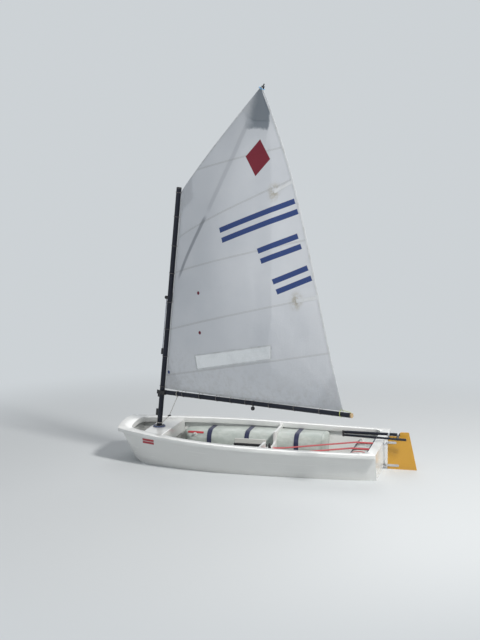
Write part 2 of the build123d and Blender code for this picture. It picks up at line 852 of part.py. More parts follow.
def pintle(z, length):
    low = z + 1.5 * pintle_radius + pintle_gap
    upward = (Align.CENTER, Align.CENTER, Align.MIN)
    thick = 2.5 * pintle_radius
    pin_low = z - 3 * pintle_radius
    pin = Pos(pintle_x, 0, pin_low) * Cylinder(pintle_radius, low + thick - pin_low, align=upward)
    lug = Pos(blade_front_x, 0, low) * Box(
        blade_gap, 5 * pintle_radius, thick, align=(Align.MIN, Align.CENTER, Align.MIN)
    )
    lug = lug + Pos(pintle_x, 0, low) * Cylinder(2.2 * pintle_radius, thick, align=upward)
    cheeks = Pos(blade_front_x, 0, low) * Box(
        length, blade_thickness + 2 * clamp_wall, pintle_height, align=(Align.MAX, Align.CENTER, Align.MIN)
    )
    cheeks = fillet(cheeks.edges().filter_by(Axis.Y).group_by(Axis.X)[0], pintle_height / 2.5)
    return (lug + cheeks + pin) - rudder_blade()


def tiller_rod():
    return tube((tiller_aft_x, 0, tiller_z), (tiller_front_x, 0, tiller_z), tiller_diameter / 2)


def tiller_clamps():
    width = tiller_diameter + 2 * clamp_wall
    high = tiller_z + width / 2
    pieces = []
    for back in clamp_backs:
        block = Pos(pintle_x - back, 0, clamp_low_z) * Box(
            clamp_length, width, high - clamp_low_z, align=(Align.CENTER, Align.CENTER, Align.MIN)
        )
        block = fillet(block.edges().filter_by(Axis.X).group_by(Axis.Z)[-1], width / 2.2)
        pieces.append(block - rudder_blade() - tiller_rod())
    return pieces


def tiller():
    return tube((tiller_aft_x, 0, tiller_z), (tiller_front_x, 0, tiller_z), tiller_diameter / 2, tiller_wall)


joint_x = tiller_front_x + 1.4 * joint_radius
extension_z = tiller_z - extension_drop


def tiller_joint():
    low = tiller_z - tiller_diameter / 2
    upward = (Align.CENTER, Align.CENTER, Align.MIN)
    knuckle = Pos(joint_x, 0, low) * Cylinder(joint_radius, tiller_diameter, align=upward)
    bridge = Pos(tiller_front_x, 0, tiller_z) * Box(
        1.4 * joint_radius, 1.5 * joint_radius, 1.6 * joint_radius, align=(Align.MIN, Align.CENTER, Align.CENTER)
    )
    inside_radius = tiller_diameter / 2 - tiller_wall
    stem = tube((tiller_front_x - 3 * joint_radius, 0, tiller_z), (tiller_front_x, 0, tiller_z), inside_radius)
    foot = extension_z - extension_diameter / 2 - 1
    pin = Pos(joint_x, 0, foot) * Cylinder(joint_pin_radius, low - foot, align=upward)
    washer = Pos(joint_x, 0, foot - 2) * Cylinder(2.3 * joint_pin_radius, 2, align=upward)
    return knuckle + bridge + stem + pin + washer


def fold_point(distance):
    turn = radians(extension_fold)
    return (joint_x + cos(turn) * distance, sin(turn) * distance, extension_z)


def extension_eye():
    radius = extension_diameter / 2
    neck_end = fold_point(extension_neck)
    eye = Pos(joint_x, 0, extension_z) * Cylinder(joint_radius, extension_diameter + 1)
    neck = tube(fold_point(0), neck_end, radius)
    stem = tube(fold_point(extension_neck - 1), fold_point(2.5 * extension_neck), radius - extension_wall)
    bore = Pos(joint_x, 0, extension_z) * Cylinder(joint_pin_radius + pintle_clearance, beyond / 20)
    return (eye + neck + stem) - bore


def tiller_extension():
    start, end = fold_point(extension_neck), fold_point(extension_length)
    return tube(start, end, extension_diameter / 2, extension_wall)


def extension_grip():
    radius = extension_diameter / 2
    end = fold_point(extension_length)
    cap = tube(end, fold_point(extension_length + radius / 2), radius + 1)
    sleeve = tube(fold_point(extension_length - grip_length), end, radius + 1)
    return (cap + sleeve) - tube(fold_point(extension_neck), end, radius)


def mast_safety_loop():
    radius = collar_diameter / 2 + safety_cord + 2
    return Pos(mast_at_thwart_x, 0, thwart_top_z + safety_cord) * Torus(radius, safety_cord)


def ratchet_block():
    x = frame_aft_x + frame_thickness / 2
    base = Pos(x, 0, frame_mid_z) * Box(
        frame_thickness - 2, 2 * block_radius, block_radius / 2, align=(Align.CENTER, Align.CENTER, Align.MIN)
    )
    wheel = Cylinder(1.3 * block_radius, block_width, rotation=(0, 90, 0))
    wheel = fillet(wheel.edges(), block_width / 5)
    return base + Pos(x, 0, frame_mid_z + 1.5 * block_radius) * wheel


nodes = {
    "hull_shell": hull_shell(),
    "gunwale": gunwale(),
    "mast_thwart": mast_thwart(),
    "mast_collar": mast_collar(),
    "mast_step": mast_step(),
    "midship_frame": midship_frame(),
    "daggerboard_trunk": daggerboard_trunk(),
    "daggerboard": daggerboard(),
    "daggerboard_stop": board_stop(),
    "buoyancy_bag_port": buoyancy_bag(side_bag_form(1, 0.0)),
    "buoyancy_bag_starboard": buoyancy_bag(side_bag_form(-1, 0.0)),
    "buoyancy_bag_stern": buoyancy_bag(stern_bag_form(0.0)),
    "bag_straps_port": side_bag_strap(1),
    "bag_straps_starboard": side_bag_strap(-1),
    "bag_straps_stern": stern_bag_strap(),
    "hiking_straps": Compound(children=hiking_straps()),
    "mast": mast(),
    "mast_top_plug": mast_top_plug(),
    "boom": boom(),
    "boom_end_plug": boom_end_plug(),
    "boom_jaws": boom_jaws(),
    "sprit": sprit(),
    "sprit_ends": Compound(children=sprit_ends()),
    "sail": sail(),
    "luff_ties": Compound(children=luff_ties()),
    "foot_ties": Compound(children=foot_ties()),
    "boom_block": boom_block(),
    "vang_line": vang_line(),
    "vang_toggle": vang_toggle(),
    "mast_cleats": Compound(children=mast_cleats()),
    "sprit_block": sprit_block(),
    "sprit_line": sprit_line(),
    "outhaul": Compound(children=list(outhaul())),
    "peak_tie": peak_tie(),
    "mast_safety_loop": mast_safety_loop(),
    "ratchet_block": ratchet_block(),
    "rudder_blade": rudder_blade(),
    "gudgeon_upper": gudgeon(gudgeon_zs[0]),
    "gudgeon_lower": gudgeon(gudgeon_zs[1]),
    "pintle_upper": pintle(gudgeon_zs[0], pintle_lengths[0]),
    "pintle_lower": pintle(gudgeon_zs[1], pintle_lengths[1]),
    "tiller_clamps": Compound(children=tiller_clamps()),
    "tiller": tiller(),
    "tiller_joint": tiller_joint(),
    "extension_eye": extension_eye(),
    "tiller_extension": tiller_extension(),
    "extension_grip": extension_grip(),
}

os.makedirs("parts", exist_ok=True)
for name, shape in nodes.items():
    export_step(shape, f"parts/{name}.step")
    print(name, round(shape.volume / 1000), len(shape.solids()))
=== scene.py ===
import bpy
import bmesh
import math
import random
from mathutils import Matrix, Vector, noise
from mathutils.bvhtree import BVHTree


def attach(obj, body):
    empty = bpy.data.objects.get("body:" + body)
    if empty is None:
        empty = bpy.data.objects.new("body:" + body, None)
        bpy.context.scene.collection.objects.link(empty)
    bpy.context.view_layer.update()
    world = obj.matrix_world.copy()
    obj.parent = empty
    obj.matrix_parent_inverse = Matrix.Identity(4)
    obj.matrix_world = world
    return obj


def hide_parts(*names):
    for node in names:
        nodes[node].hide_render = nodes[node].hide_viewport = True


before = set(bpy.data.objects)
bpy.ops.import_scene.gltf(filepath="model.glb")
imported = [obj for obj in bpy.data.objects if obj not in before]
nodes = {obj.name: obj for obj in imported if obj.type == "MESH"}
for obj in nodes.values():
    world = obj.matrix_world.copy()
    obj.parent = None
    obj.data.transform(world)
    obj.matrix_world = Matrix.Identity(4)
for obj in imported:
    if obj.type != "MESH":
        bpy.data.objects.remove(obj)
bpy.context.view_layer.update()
random.seed(7)


def say(stage):
    print("dinghy:", stage, flush=True)


# Shader maths is written on this wrapper of one socket
class Signal:
    def __init__(self, finish, socket):
        self.finish, self.socket = finish, socket

    def maths(self, operation, *values):
        return self.finish.node("ShaderNodeMath", dict(operation=operation), values)

    def __add__(self, other):
        return self.maths("ADD", self, other)

    def __radd__(self, other):
        return self.maths("ADD", other, self)

    def __sub__(self, other):
        return self.maths("SUBTRACT", self, other)

    def __rsub__(self, other):
        return self.maths("SUBTRACT", other, self)

    def __mul__(self, other):
        return self.maths("MULTIPLY", self, other)

    def __rmul__(self, other):
        return self.maths("MULTIPLY", other, self)

    def __abs__(self):
        return self.maths("ABSOLUTE", self)

    def wave(self):
        return self.maths("SINE", self)

    def root(self):
        return self.maths("SQRT", self)

    def orLarger(self, other):
        return self.maths("MAXIMUM", self, other)

    def clamp(self):
        return self.finish.node("ShaderNodeClamp", {}, [self])

    def rise(self, start, end):  # 0 before start, 1 after end, smooth between
        settings = dict(interpolation_type="SMOOTHSTEP")
        return self.finish.node("ShaderNodeMapRange", settings, {"Value": self, "From Min": start, "From Max": end})

    def band(self, half, soft):  # 1 where the value is within half of zero
        return 1 - abs(self).rise(half, half + soft)


# One tree of nodes, of a new material or of the world
class Finish:
    def __init__(self, name, world=None):
        self.owner = world or bpy.data.materials.new(name)
        self.owner.use_nodes = True
        self.tree = self.owner.node_tree
        self.tree.nodes.clear()
        self.out = self.tree.nodes.new("ShaderNodeOutputWorld" if world else "ShaderNodeOutputMaterial")

    def plug(self, socket, value):
        if isinstance(value, Signal):
            self.tree.links.new(value.socket, socket)
        elif socket.type == "RGBA":
            socket.default_value = (*value, 1.0)
        else:
            socket.default_value = value

    def node(self, kind, settings=None, values=(), out=0):
        made = self.tree.nodes.new(kind)
        for key, value in (settings or {}).items():
            setattr(made, key, value)
        pairs = values.items() if isinstance(values, dict) else enumerate(values)
        for key, value in pairs:
            self.plug(made.inputs[key], value)
        if out == "all":
            return [Signal(self, socket) for socket in made.outputs]
        return Signal(self, made.outputs[out])

    def place(self):
        return self.node("ShaderNodeTexCoord", out="Object")

    def split(self, vector):
        return self.node("ShaderNodeSeparateXYZ", {}, [vector], "all")

    def sailPlane(self):  # x and z on the flat sail
        return self.split(self.node("ShaderNodeUVMap", dict(uv_map="sailPlane")))[:2]

    def cloud(self, vector, scale, detail, rough, stretch=None):
        if stretch:
            vector = self.node("ShaderNodeVectorMath", dict(operation="MULTIPLY"), [vector, stretch])
        values = {"Vector": vector, "Scale": scale, "Detail": detail, "Roughness": rough}
        return self.node("ShaderNodeTexNoise", {}, values)

    def colour(self, mask, low, high):  # low where the mask is 0, high where it is 1
        return self.node("ShaderNodeMix", dict(data_type="RGBA"), {0: mask, 6: low, 7: high}, 2)

    def bump(self, height, strength, distance):
        return self.node("ShaderNodeBump", {}, {"Strength": strength, "Distance": distance, "Height": height})

    def body(self, colour, roughness, extra=None):
        values = {"Base Color": colour, "Roughness": roughness, **(extra or {})}
        return self.node("ShaderNodeBsdfPrincipled", {}, values)

    def end(self, shader):
        self.tree.links.new(shader.socket, self.out.inputs["Surface"])
        return self.owner


def newObject(name, data):
    made = bpy.data.objects.new(name, data)
    bpy.context.scene.collection.objects.link(made)
    return made


def finishMesh(name, bm, material, body=None, smooth=True, outward=False):
    if outward:
        bmesh.ops.recalc_face_normals(bm, faces=bm.faces)
    mesh = bpy.data.meshes.new(name)
    bm.to_mesh(mesh)
    bm.free()
    for face in mesh.polygons:
        face.use_smooth = smooth
    mesh.materials.append(material)
    made = newObject(name, mesh)
    if body:
        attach(made, body)
    return made


def applyModifiers(piece):
    bpy.context.view_layer.update()
    baked = bpy.data.meshes.new_from_object(piece.evaluated_get(bpy.context.evaluated_depsgraph_get()))
    piece.modifiers.clear()
    piece.data = baked


def thicken(piece, thickness):  # half to each side
    made = piece.modifiers.new("thickness", "SOLIDIFY")
    made.thickness = thickness
    made.offset = 0.0


def cutAt(bm, point, facing, **options):
    every = bm.verts[:] + bm.edges[:] + bm.faces[:]
    bmesh.ops.bisect_plane(bm, geom=every, plane_co=point, plane_no=facing, **options)


def turnTo(direction):  # a turn that takes +Z to the direction
    return Vector(direction).normalized().to_track_quat("Z", "Y").to_matrix().to_4x4()


# The camera stands where the photograph was taken
cameraLook = dict(
    place=(-2.3884, 9.6353, 2.5769), ahead=(0.24965, -0.95937, -0.13146), up=(0.02776, -0.12861, 0.99131),
    lens=64.37, farthest=200.0,
)


def makeCamera():
    look = cameraLook
    data = bpy.data.cameras.new("camera")
    data.lens = look["lens"]
    data.clip_end = look["farthest"]
    ahead = Vector(look["ahead"])
    right = ahead.cross(Vector(look["up"])).normalized()
    up = right.cross(ahead).normalized()
    turn = Matrix((right, up, -ahead.normalized())).transposed()
    made = newObject("camera", data)
    made.matrix_world = Matrix.Translation(look["place"]) @ turn.to_4x4()
    bpy.context.scene.camera = made


# Floor at the waterline, open where the hull goes through it, fading into the world's colour
floorLook = dict(colour=(0.62, 0.645, 0.66), reach=60.0, world=(0.61, 0.645, 0.67), fadeFrom=2.6, fadeTo=24.0)


def loopSpan(chain):
    return max(p.x for p in chain) - min(p.x for p in chain) + max(p.y for p in chain)


def waterlineLoop():
    bm = bmesh.new()
    bm.from_mesh(nodes["hull_shell"].data)
    bmesh.ops.remove_doubles(bm, verts=bm.verts, dist=1e-5)
    cutAt(bm, (0, 0, 0), (0, 0, 1), clear_inner=True, clear_outer=True)
    bm.verts.index_update()
    left = set(bm.verts)
    loops = []
    while left:
        ahead = [min(left, key=lambda vert: vert.index)]
        chain = []
        while ahead:
            here = ahead[0]
            left.discard(here)
            chain.append(here.co.copy())
            ahead = [e.other_vert(here) for e in here.link_edges if e.other_vert(here) in left]
        loops.append(chain)
    bm.free()
    return max(loops, key=loopSpan)  # the outer skin's


def makeFloor():
    look = floorLook
    reach = look["reach"]
    bm = bmesh.new()
    hole = [bm.verts.new((p.x, p.y, 0)) for p in waterlineLoop()]
    rim = [bm.verts.new((x * reach, y * reach, 0)) for x, y in ((-1, -1), (1, -1), (1, 1), (-1, 1))]
    for ring in (hole, rim):
        for a, b in zip(ring, ring[1:] + ring[:1]):
            bm.edges.new((a, b))
    bmesh.ops.triangle_fill(bm, use_beauty=True, use_dissolve=False, edges=bm.edges[:])
    for face in bm.faces:
        if face.normal.z < 0:
            face.normal_flip()
    paint = Finish("paleFloor")
    x, y = paint.split(paint.place())[:2]
    far = (x * x + y * y).rise(look["fadeFrom"], look["fadeTo"])
    lit = paint.body(look["colour"], 0.8)
    glow = paint.node("ShaderNodeEmission", {}, {"Color": look["world"], "Strength": 1.0})
    blend = paint.node("ShaderNodeMixShader", {}, [far, lit, glow])
    floor = finishMesh("floor", bm, paint.end(blend), smooth=False)


lampLook = dict(
    aim=(0.0, 0.0, 1.0), skyTint=(0.93, 0.96, 1.0), skyStrength=0.30,
    lamps=[
        dict(name="key", place=(-5.4, 3.1, 7.0), size=1.5, power=700.0, colour=(1.0, 0.98, 0.95)),
        dict(name="fill", place=(3.5, 7.5, 4.5), size=6.0, power=60.0, colour=(0.95, 0.975, 1.0)),
        dict(name="back", place=(0.5, -7.0, 6.0), size=6.0, power=150.0, colour=(1.0, 1.0, 1.0)),
    ],
)


def makeLights():
    look = lampLook
    for row in look["lamps"]:
        data = bpy.data.lights.new(row["name"], "AREA")
        data.shape = "DISK"
        data.size = row["size"]
        data.energy = row["power"]
        data.color = row["colour"]
        made = newObject(row["name"], data)
        made.location = row["place"]
        made.rotation_euler = (Vector(look["aim"]) - made.location).to_track_quat("-Z", "Y").to_euler()
    world = bpy.data.worlds.new("paleSky")
    bpy.context.scene.world = world
    sky = Finish("paleSky", world)
    kinds = ("Is Camera Ray", "Is Glossy Ray", "Is Transmission Ray")
    straight, mirrored, through = [sky.node("ShaderNodeLightPath", out=kind) for kind in kinds]
    seen = straight.orLarger(mirrored).orLarger(through)
    soft = sky.node("ShaderNodeBackground", {}, {"Color": look["skyTint"], "Strength": look["skyStrength"]})
    plain = sky.node("ShaderNodeBackground", {}, {"Color": floorLook["world"], "Strength": 1.0})
    sky.end(sky.node("ShaderNodeMixShader", {}, [seen, soft, plain]))


say("camera, floor and lamps")
bpy.context.scene.view_settings.view_transform = "Standard"
makeCamera()
makeFloor()
makeLights()


def shade(tint, share, lift=0.0):
    return tuple(min(1.0, c * share + lift) for c in tint)


# Gelcoat, with two bars and the floor's grip fields on the hull
hullMarks = dict(
    barsAt=(0.860, 0.2115), barsHalf=(0.058, 0.0215), barsGap=0.0012, barsTint=(0.40, 0.035, 0.05),
    gripPitch=520.0, gripTint=(0.55, 0.57, 0.58), gripHigh=0.118, gripLow=-0.05,
    gripAside=0.16, gripHalf=0.115, trunkAt=-0.02, trunkHalf=(0.22, 0.05),
)


def gelcoat(name, tint, dirt=(0.50, 0.49, 0.43), gloss=0.22, wear=0.35, marks=None):
    paint = Finish(name)
    place = paint.place()
    x, y, z = paint.split(place)
    broad = paint.cloud(place, 1.7, 4.0, 0.55)
    fine = paint.cloud(place, 17.0, 5.0, 0.6)
    streak = paint.cloud(place, 7.0, 5.0, 0.6, stretch=(0.3, 0.3, 2.2))
    scratch = paint.cloud(place, 26.0, 2.0, 0.45, stretch=(0.10, 0.6, 2.4))
    colour = paint.colour(broad.rise(0.35, 0.75) * 0.5, tint, shade(tint, 0.94))
    grime = (1 - z.rise(-0.01, 0.055)) * streak.rise(0.38, 0.72) * 0.35 + fine.rise(0.58, 0.78) * 0.10 * wear
    colour = paint.colour(grime.clamp(), colour, dirt)
    scuff = scratch.rise(0.67, 0.72) * wear
    colour = paint.colour(scuff * 0.22, colour, shade(tint, 0.72))
    height = broad * 0.5 + scuff * 0.2
    if marks:
        (barX, barZ), (halfX, halfZ) = marks["barsAt"], marks["barsHalf"]
        bars = (x - barX).band(halfX, 0.002) * (z - barZ).band(halfZ, 0.002) * y.rise(0.05, 0.10)
        gap = (z - barZ).band(marks["barsGap"], 0.001)
        worn = 1 - fine.rise(0.60, 0.75) * 0.5
        colour = paint.colour(bars * (1 - gap) * worn, colour, marks["barsTint"])
        pitch, low, (trunkX, trunkY) = marks["gripPitch"], marks["gripLow"], marks["trunkHalf"]
        studs = ((x + y) * pitch).wave() * ((x - y) * pitch).wave()
        field = z.band(marks["gripHigh"], 0.004) * (1 - z.rise(low - 0.005, low + 0.005))
        field = field * (abs(y) - marks["gripAside"]).band(marks["gripHalf"], 0.004)
        field = field * (1 - abs(x - marks["trunkAt"]).band(trunkX, 0.002) * (1 - abs(y).rise(trunkY, trunkY + 0.01)))
        height = height + studs.rise(-0.1, 0.3) * field
        colour = paint.colour(field * 0.5, colour, marks["gripTint"])
    rough = gloss + broad * 0.06 + scuff * 0.18 + grime * 0.25
    normal = paint.bump(height, 0.25, 0.0008)
    coat = {"Normal": normal, "Coat Weight": 0.3, "Coat Roughness": 0.10}
    return paint.end(paint.body(colour, rough.clamp(), coat))


def moulded(name, tint):
    paint = Finish(name)
    place = paint.place()
    grain = paint.cloud(place, 140.0, 3.0, 0.5)
    patch = paint.cloud(place, 14.0, 5.0, 0.6)
    colour = paint.colour(patch.rise(0.58, 0.75) * 0.4, tint, shade(tint, 1.8, 0.03))
    normal = paint.bump(grain + patch * 2.0, 0.3, 0.0004)
    return paint.end(paint.body(colour, (0.45 + patch * 0.18).clamp(), {"Normal": normal}))


def anodised(name, tint, bareTint=(0.20, 0.21, 0.24)):
    paint = Finish(name)
    place = paint.place()
    drawn = paint.cloud(place, 55.0, 4.0, 0.6, stretch=(0.4, 0.4, 1.0))
    shadowed = paint.cloud(place, 11.0, 6.0, 0.7)
    nick = paint.cloud(place, 90.0, 2.0, 0.5)
    bare = shadowed.rise(0.66, 0.78) * 0.35 + nick.rise(0.72, 0.78) * 0.5
    colour = paint.colour(bare.clamp(), tint, bareTint)
    rough = 0.34 + drawn * 0.16 + bare * 0.12
    normal = paint.bump(drawn + nick * 0.5, 0.2, 0.0003)
    return paint.end(paint.body(colour, rough.clamp(), {"Normal": normal, "Metallic": 0.55}))


def steel(name, tint, dullTint):
    paint = Finish(name)
    place = paint.place()
    brushed = paint.cloud(place, 120.0, 3.0, 0.6, stretch=(0.15, 1.0, 1.0))
    dull = paint.cloud(place, 20.0, 4.0, 0.6)
    colour = paint.colour(dull.rise(0.4, 0.8), tint, dullTint)
    normal = paint.bump(brushed, 0.2, 0.0002)
    return paint.end(paint.body(colour, 0.24 + brushed * 0.2, {"Normal": normal, "Metallic": 1.0}))


def webbing(name, tint, across, ribPitch=1400.0, pickPitch=900.0):
    paint = Finish(name)
    place = paint.place()
    x, y, z = paint.split(place)
    rib = (x * (across[0] * ribPitch) + y * (across[1] * ribPitch) + z * 300.0).wave()
    pick = ((x + y + z) * pickPitch).wave()
    fade = paint.cloud(place, 12.0, 5.0, 0.6)
    colour = paint.colour(fade.rise(0.45, 0.8) * 0.6, tint, shade(tint, 1.5, 0.05))
    colour = paint.colour(pick.rise(0.2, 1.0) * 0.25, colour, shade(tint, 0.6))
    normal = paint.bump(rib * 0.5 + pick * 0.5, 0.5, 0.0005)
    return paint.end(paint.body(colour, 0.85, {"Normal": normal, "Sheen Weight": 0.25}))


def braid(name, tint, fleck, pitch=900.0):
    paint = Finish(name)
    place = paint.place()
    x, y, z = paint.split(place)
    one = ((x + y * 0.7 + z) * pitch).wave()
    two = ((x - y * 0.7 + z * 0.8) * pitch).wave()
    weave = one * two
    grime = paint.cloud(place, 25.0, 4.0, 0.6)
    colour = paint.colour(grime.rise(0.4, 0.8) * 0.5, tint, shade(tint, 0.6))
    colour = paint.colour(weave.rise(0.35, 0.6), colour, fleck)
    normal = paint.bump(weave, 0.6, 0.0006)
    return paint.end(paint.body(colour, 0.8, {"Normal": normal, "Sheen Weight": 0.2}))


tints = dict(
    hull=(0.76, 0.77, 0.755), rail=(0.80, 0.81, 0.80), blade=(0.64, 0.34, 0.035), bladeDirt=(0.34, 0.20, 0.06),
    board=(0.74, 0.74, 0.70), blackNylon=(0.022, 0.022, 0.025), paleNylon=(0.62, 0.62, 0.60),
    spar=(0.018, 0.021, 0.032), plug=(0.46, 0.33, 0.18), steel=(0.66, 0.67, 0.69), steelDull=(0.46, 0.46, 0.46),
    navy=(0.020, 0.026, 0.075), red=(0.50, 0.035, 0.045),
)
cords = [  # finish, tint, fleck, pieces
    ("whiteCord", (0.62, 0.60, 0.55), (0.20, 0.16, 0.12), ["vang_line"]),
    ("tieCord", (0.16, 0.14, 0.13), (0.36, 0.33, 0.29), ["luff_ties", "foot_ties"]),
    ("blueCord", (0.03, 0.05, 0.16), (0.30, 0.36, 0.50), ["sprit_line", "mast_safety_loop"]),
    ("skyCord", (0.06, 0.34, 0.66), (0.45, 0.65, 0.80), ["peak_tie"]),
    ("yellowCord", (0.50, 0.58, 0.10), (0.75, 0.80, 0.35), ["outhaul"]),
]
finishes = dict(
    hull=gelcoat("hullGelcoat", tints["hull"], marks=hullMarks),
    rail=gelcoat("railGelcoat", tints["rail"], wear=0.5),
    blade=gelcoat("bladeGelcoat", tints["blade"], dirt=tints["bladeDirt"], gloss=0.36, wear=0.9),
    board=gelcoat("boardGelcoat", tints["board"], wear=0.8),
    blackNylon=moulded("blackNylon", tints["blackNylon"]),
    paleNylon=moulded("paleNylon", tints["paleNylon"]),
    plug=moulded("tanPlug", tints["plug"]),
    spar=anodised("blackAnodised", tints["spar"]),
    steel=steel("stainless", tints["steel"], tints["steelDull"]),
    navy=webbing("navyWebbing", tints["navy"], (1.0, 0.0)),
    red=webbing("redWebbing", tints["red"], (0.0, 1.0)),
)


def dress(material, *names):
    for name in names:
        mesh = nodes[name].data
        mesh.materials.clear()
        mesh.materials.append(material)


def dressCad():
    dress(finishes["hull"], "hull_shell")
    dress(finishes["rail"], "gunwale", "midship_frame", "daggerboard_trunk", "mast_step", "mast_thwart")
    dress(finishes["board"], "daggerboard")
    dress(finishes["blade"], "rudder_blade")
    dress(finishes["spar"], "mast", "boom", "sprit", "tiller", "tiller_extension")
    dress(finishes["plug"], "boom_end_plug")
    dress(
        finishes["blackNylon"], "mast_collar", "daggerboard_stop", "mast_top_plug", "boom_jaws", "sprit_ends",
        "boom_block", "vang_toggle", "mast_cleats", "sprit_block", "ratchet_block", "tiller_joint",
        "extension_eye", "extension_grip",
    )
    dress(finishes["steel"], "gudgeon_upper", "gudgeon_lower", "pintle_upper", "pintle_lower", "tiller_clamps")
    dress(finishes["navy"], "bag_straps_port", "bag_straps_starboard", "bag_straps_stern")
    dress(finishes["red"], "hiking_straps")
    for name, tint, fleck, pieces in cords:
        dress(braid(name, tint, fleck), *pieces)


def roundEdges(width, *names):
    for name in names:
        weld = nodes[name].modifiers.new("weld", "WELD")
        weld.merge_threshold = 1e-5
        bevel = nodes[name].modifiers.new("bevel", "BEVEL")
        bevel.width = width
        bevel.segments = 2
        bevel.limit_method = "ANGLE"
        bevel.angle_limit = math.radians(38)
        bevel.harden_normals = True


say("plain finishes")
dressCad()
roundEdges(0.0025, "gunwale", "mast_thwart", "midship_frame", "daggerboard_trunk")
roundEdges(0.0012, "rudder_blade", "boom_jaws", "mast_cleats", "tiller_clamps")

# The sail, in the rig's own plane: x aft from the mast, z up along it
mastRake = math.radians(5.75)
rigOrigin = Vector((0.88, 0.0, 0.262))
rigAft = Vector((-0.92186314, 0.37623338, -0.09282674))
rigSide = Vector((-0.37434037, -0.92652493, -0.03769409))
rigUp = Vector((-math.sin(mastRake), 0.0, math.cos(mastRake)))
sailCut = dict(
    tack=(0.034, 0.362), throat=(0.034, 2.132), clew=(1.888, 0.557), peak=(0.832, 3.070), peakSide=-0.062,
    roach=0.074, footRound=0.007, depth=0.095, thickness=0.0009, rows=110, columns=100,
    fold=[(0.930, 2.860), (1.046, 2.222), (1.189, 1.210), (1.164, 0.975), (1.256, 0.600)],
    foldRise=0.008, foldHalf=0.15,
)
sailMarks = dict(
    seams=[
        ((0.124, 2.307), (1.096, 2.597)), ((0.068, 1.734), (1.217, 2.350)), ((0.034, 1.410), (1.391, 1.875)),
        ((0.031, 0.900), (1.564, 1.435)), ((0.040, 0.486), (1.720, 1.002)), ((0.30, 2.56), (0.62, 2.98)),
    ],
    battens=[((1.065, 2.228), (1.215, 2.330)), ((1.378, 1.373), (1.560, 1.429))],
    spritShadow=[  # painted shadow of the sprit through the cloth: start, end, half width, depth
        ((0.100, 1.345), (0.402, 1.955), 0.017, 0.50),
        ((0.402, 1.955), (0.740, 2.790), 0.020, 0.16),
    ],
    window=[(0.407, 0.743), (1.196, 0.976), (1.203, 0.862), (0.432, 0.621)],
    dots=[
        ((0.422, 1.297), (0.20, 0.01, 0.04)), ((0.469, 0.958), (0.20, 0.01, 0.04)),
        ((0.069, 0.520), (0.02, 0.06, 0.28)),
    ],
    # The last entry below is the height where the painted shade at the peak begins
    emblemAt=(0.870, 2.490), emblemReach=0.150, peakShadeZ=2.714,
    stripes=[
        ((0.607, 1.816), (1.274, 2.135)), ((1.009, 1.693), (1.340, 1.859)), ((1.181, 1.462), (1.459, 1.616)),
    ],
    stripeHalf=0.021, stripeGap=0.044, dotRadius=0.014, rustReach=0.075, windowLap=0.012,
    weave=2600.0, seamHalf=0.0062, stitchOff=0.0048, stitchHalf=0.0007, stitchPitch=900.0,
)
# Painted shade among these tints: the sprit's shadow through the cloth, and the shade at the peak
sailTints = dict(
    cloth=(0.79, 0.805, 0.83), dull=(0.74, 0.76, 0.79), footDirt=(0.50, 0.49, 0.46), speck=(0.40, 0.40, 0.38),
    seam=(0.52, 0.53, 0.53), thread=(0.44, 0.43, 0.40), rust=(0.42, 0.37, 0.25), spritShadow=(0.17, 0.19, 0.24),
    peakShade=(0.215, 0.255, 0.30), emblem=(0.27, 0.012, 0.035), stripe=(0.030, 0.075, 0.27),
    film=(0.12, 0.17, 0.21),
)


def between(a, b, share):
    return [p + (q - p) * share for p, q in zip(a, b)]


def flatPoint(u, v):  # u from luff to leech, v from foot to head
    cut = sailCut
    luffX, luffZ = between(cut["tack"], cut["throat"], v)
    leechX, leechZ = between(cut["clew"], cut["peak"], v)
    out = cut["roach"] * math.sin(math.pi * max(v, 0.0) ** 1.65)
    leechX, leechZ = leechX + 0.92 * out, leechZ + 0.39 * out
    foot = cut["footRound"] * math.sin(math.pi * u) * min(1.0, max(0.0, 1 - v)) ** 6
    return luffX + (leechX - luffX) * u, luffZ + (leechZ - luffZ) * u - foot


def sailDepth(u, v):  # the sail's twist to its peak, and its belly
    (ax, az), (bx, bz) = flatPoint(0, v), flatPoint(1, v)
    peakSide = sailCut["peakSide"] * v
    chord = math.sqrt((bx - ax) ** 2 + (bz - az) ** 2 + peakSide ** 2)
    fullness = math.sin(math.radians(166) * max(v, 0.0) ** 0.75)
    belly = sailCut["depth"] * chord * fullness * math.sin(math.pi * min(1.0, max(u, 0.0)) ** 0.8)
    return peakSide * u - belly


def sailUV(x, z):  # u and v of a place on the flat sail, by Newton's method
    u, v, step = 0.5, 0.5, 1e-4
    for _ in range(14):
        px, pz = flatPoint(u, v)
        dx, dz = x - px, z - pz
        if abs(dx) + abs(dz) < 1e-7:
            break
        ux, uz = flatPoint(u + step, v)
        vx, vz = flatPoint(u, v + step)
        a, b, c, d = (ux - px) / step, (vx - px) / step, (uz - pz) / step, (vz - pz) / step
        determinant = a * d - b * c
        u = min(1.2, max(-0.2, u + (dx * d - dz * b) / determinant))
        v = min(1.2, max(-0.2, v + (dz * a - dx * c) / determinant))
    return u, v


def foldLift(x, z):  # a soft crease from the peak to the foot
    cut, line = sailCut, sailCut["fold"]
    for (ax, az), (bx, bz) in zip(line, line[1:]):
        if bz <= z <= az:
            away = abs(x - ax - (bx - ax) * (az - z) / (az - bz))
            ends = min(1.0, (line[0][1] - z) * 4.0, (z - line[-1][1]) * 4.0)
            return -cut["foldRise"] * ends * max(0.0, 1.0 - away / cut["foldHalf"]) ** 1.3
    return 0.0


def clothWave(x, z):
    clewX, clewZ = sailCut["clew"]
    soft = noise.noise(Vector((x * 1.6, z * 1.1, 3.1))) * 0.0045
    far = math.hypot(x - clewX, z - clewZ)
    angle = math.atan2(z - clewZ, clewX - x)
    fan = math.sin(angle * 16.0) * 0.004 * math.exp(-far * 2.2) * min(1.0, far * 8.0)
    flutter = noise.noise(Vector((x * 5.0, z * 2.2, 8.7))) * 0.0030
    return soft + fan + flutter + foldLift(x, z)


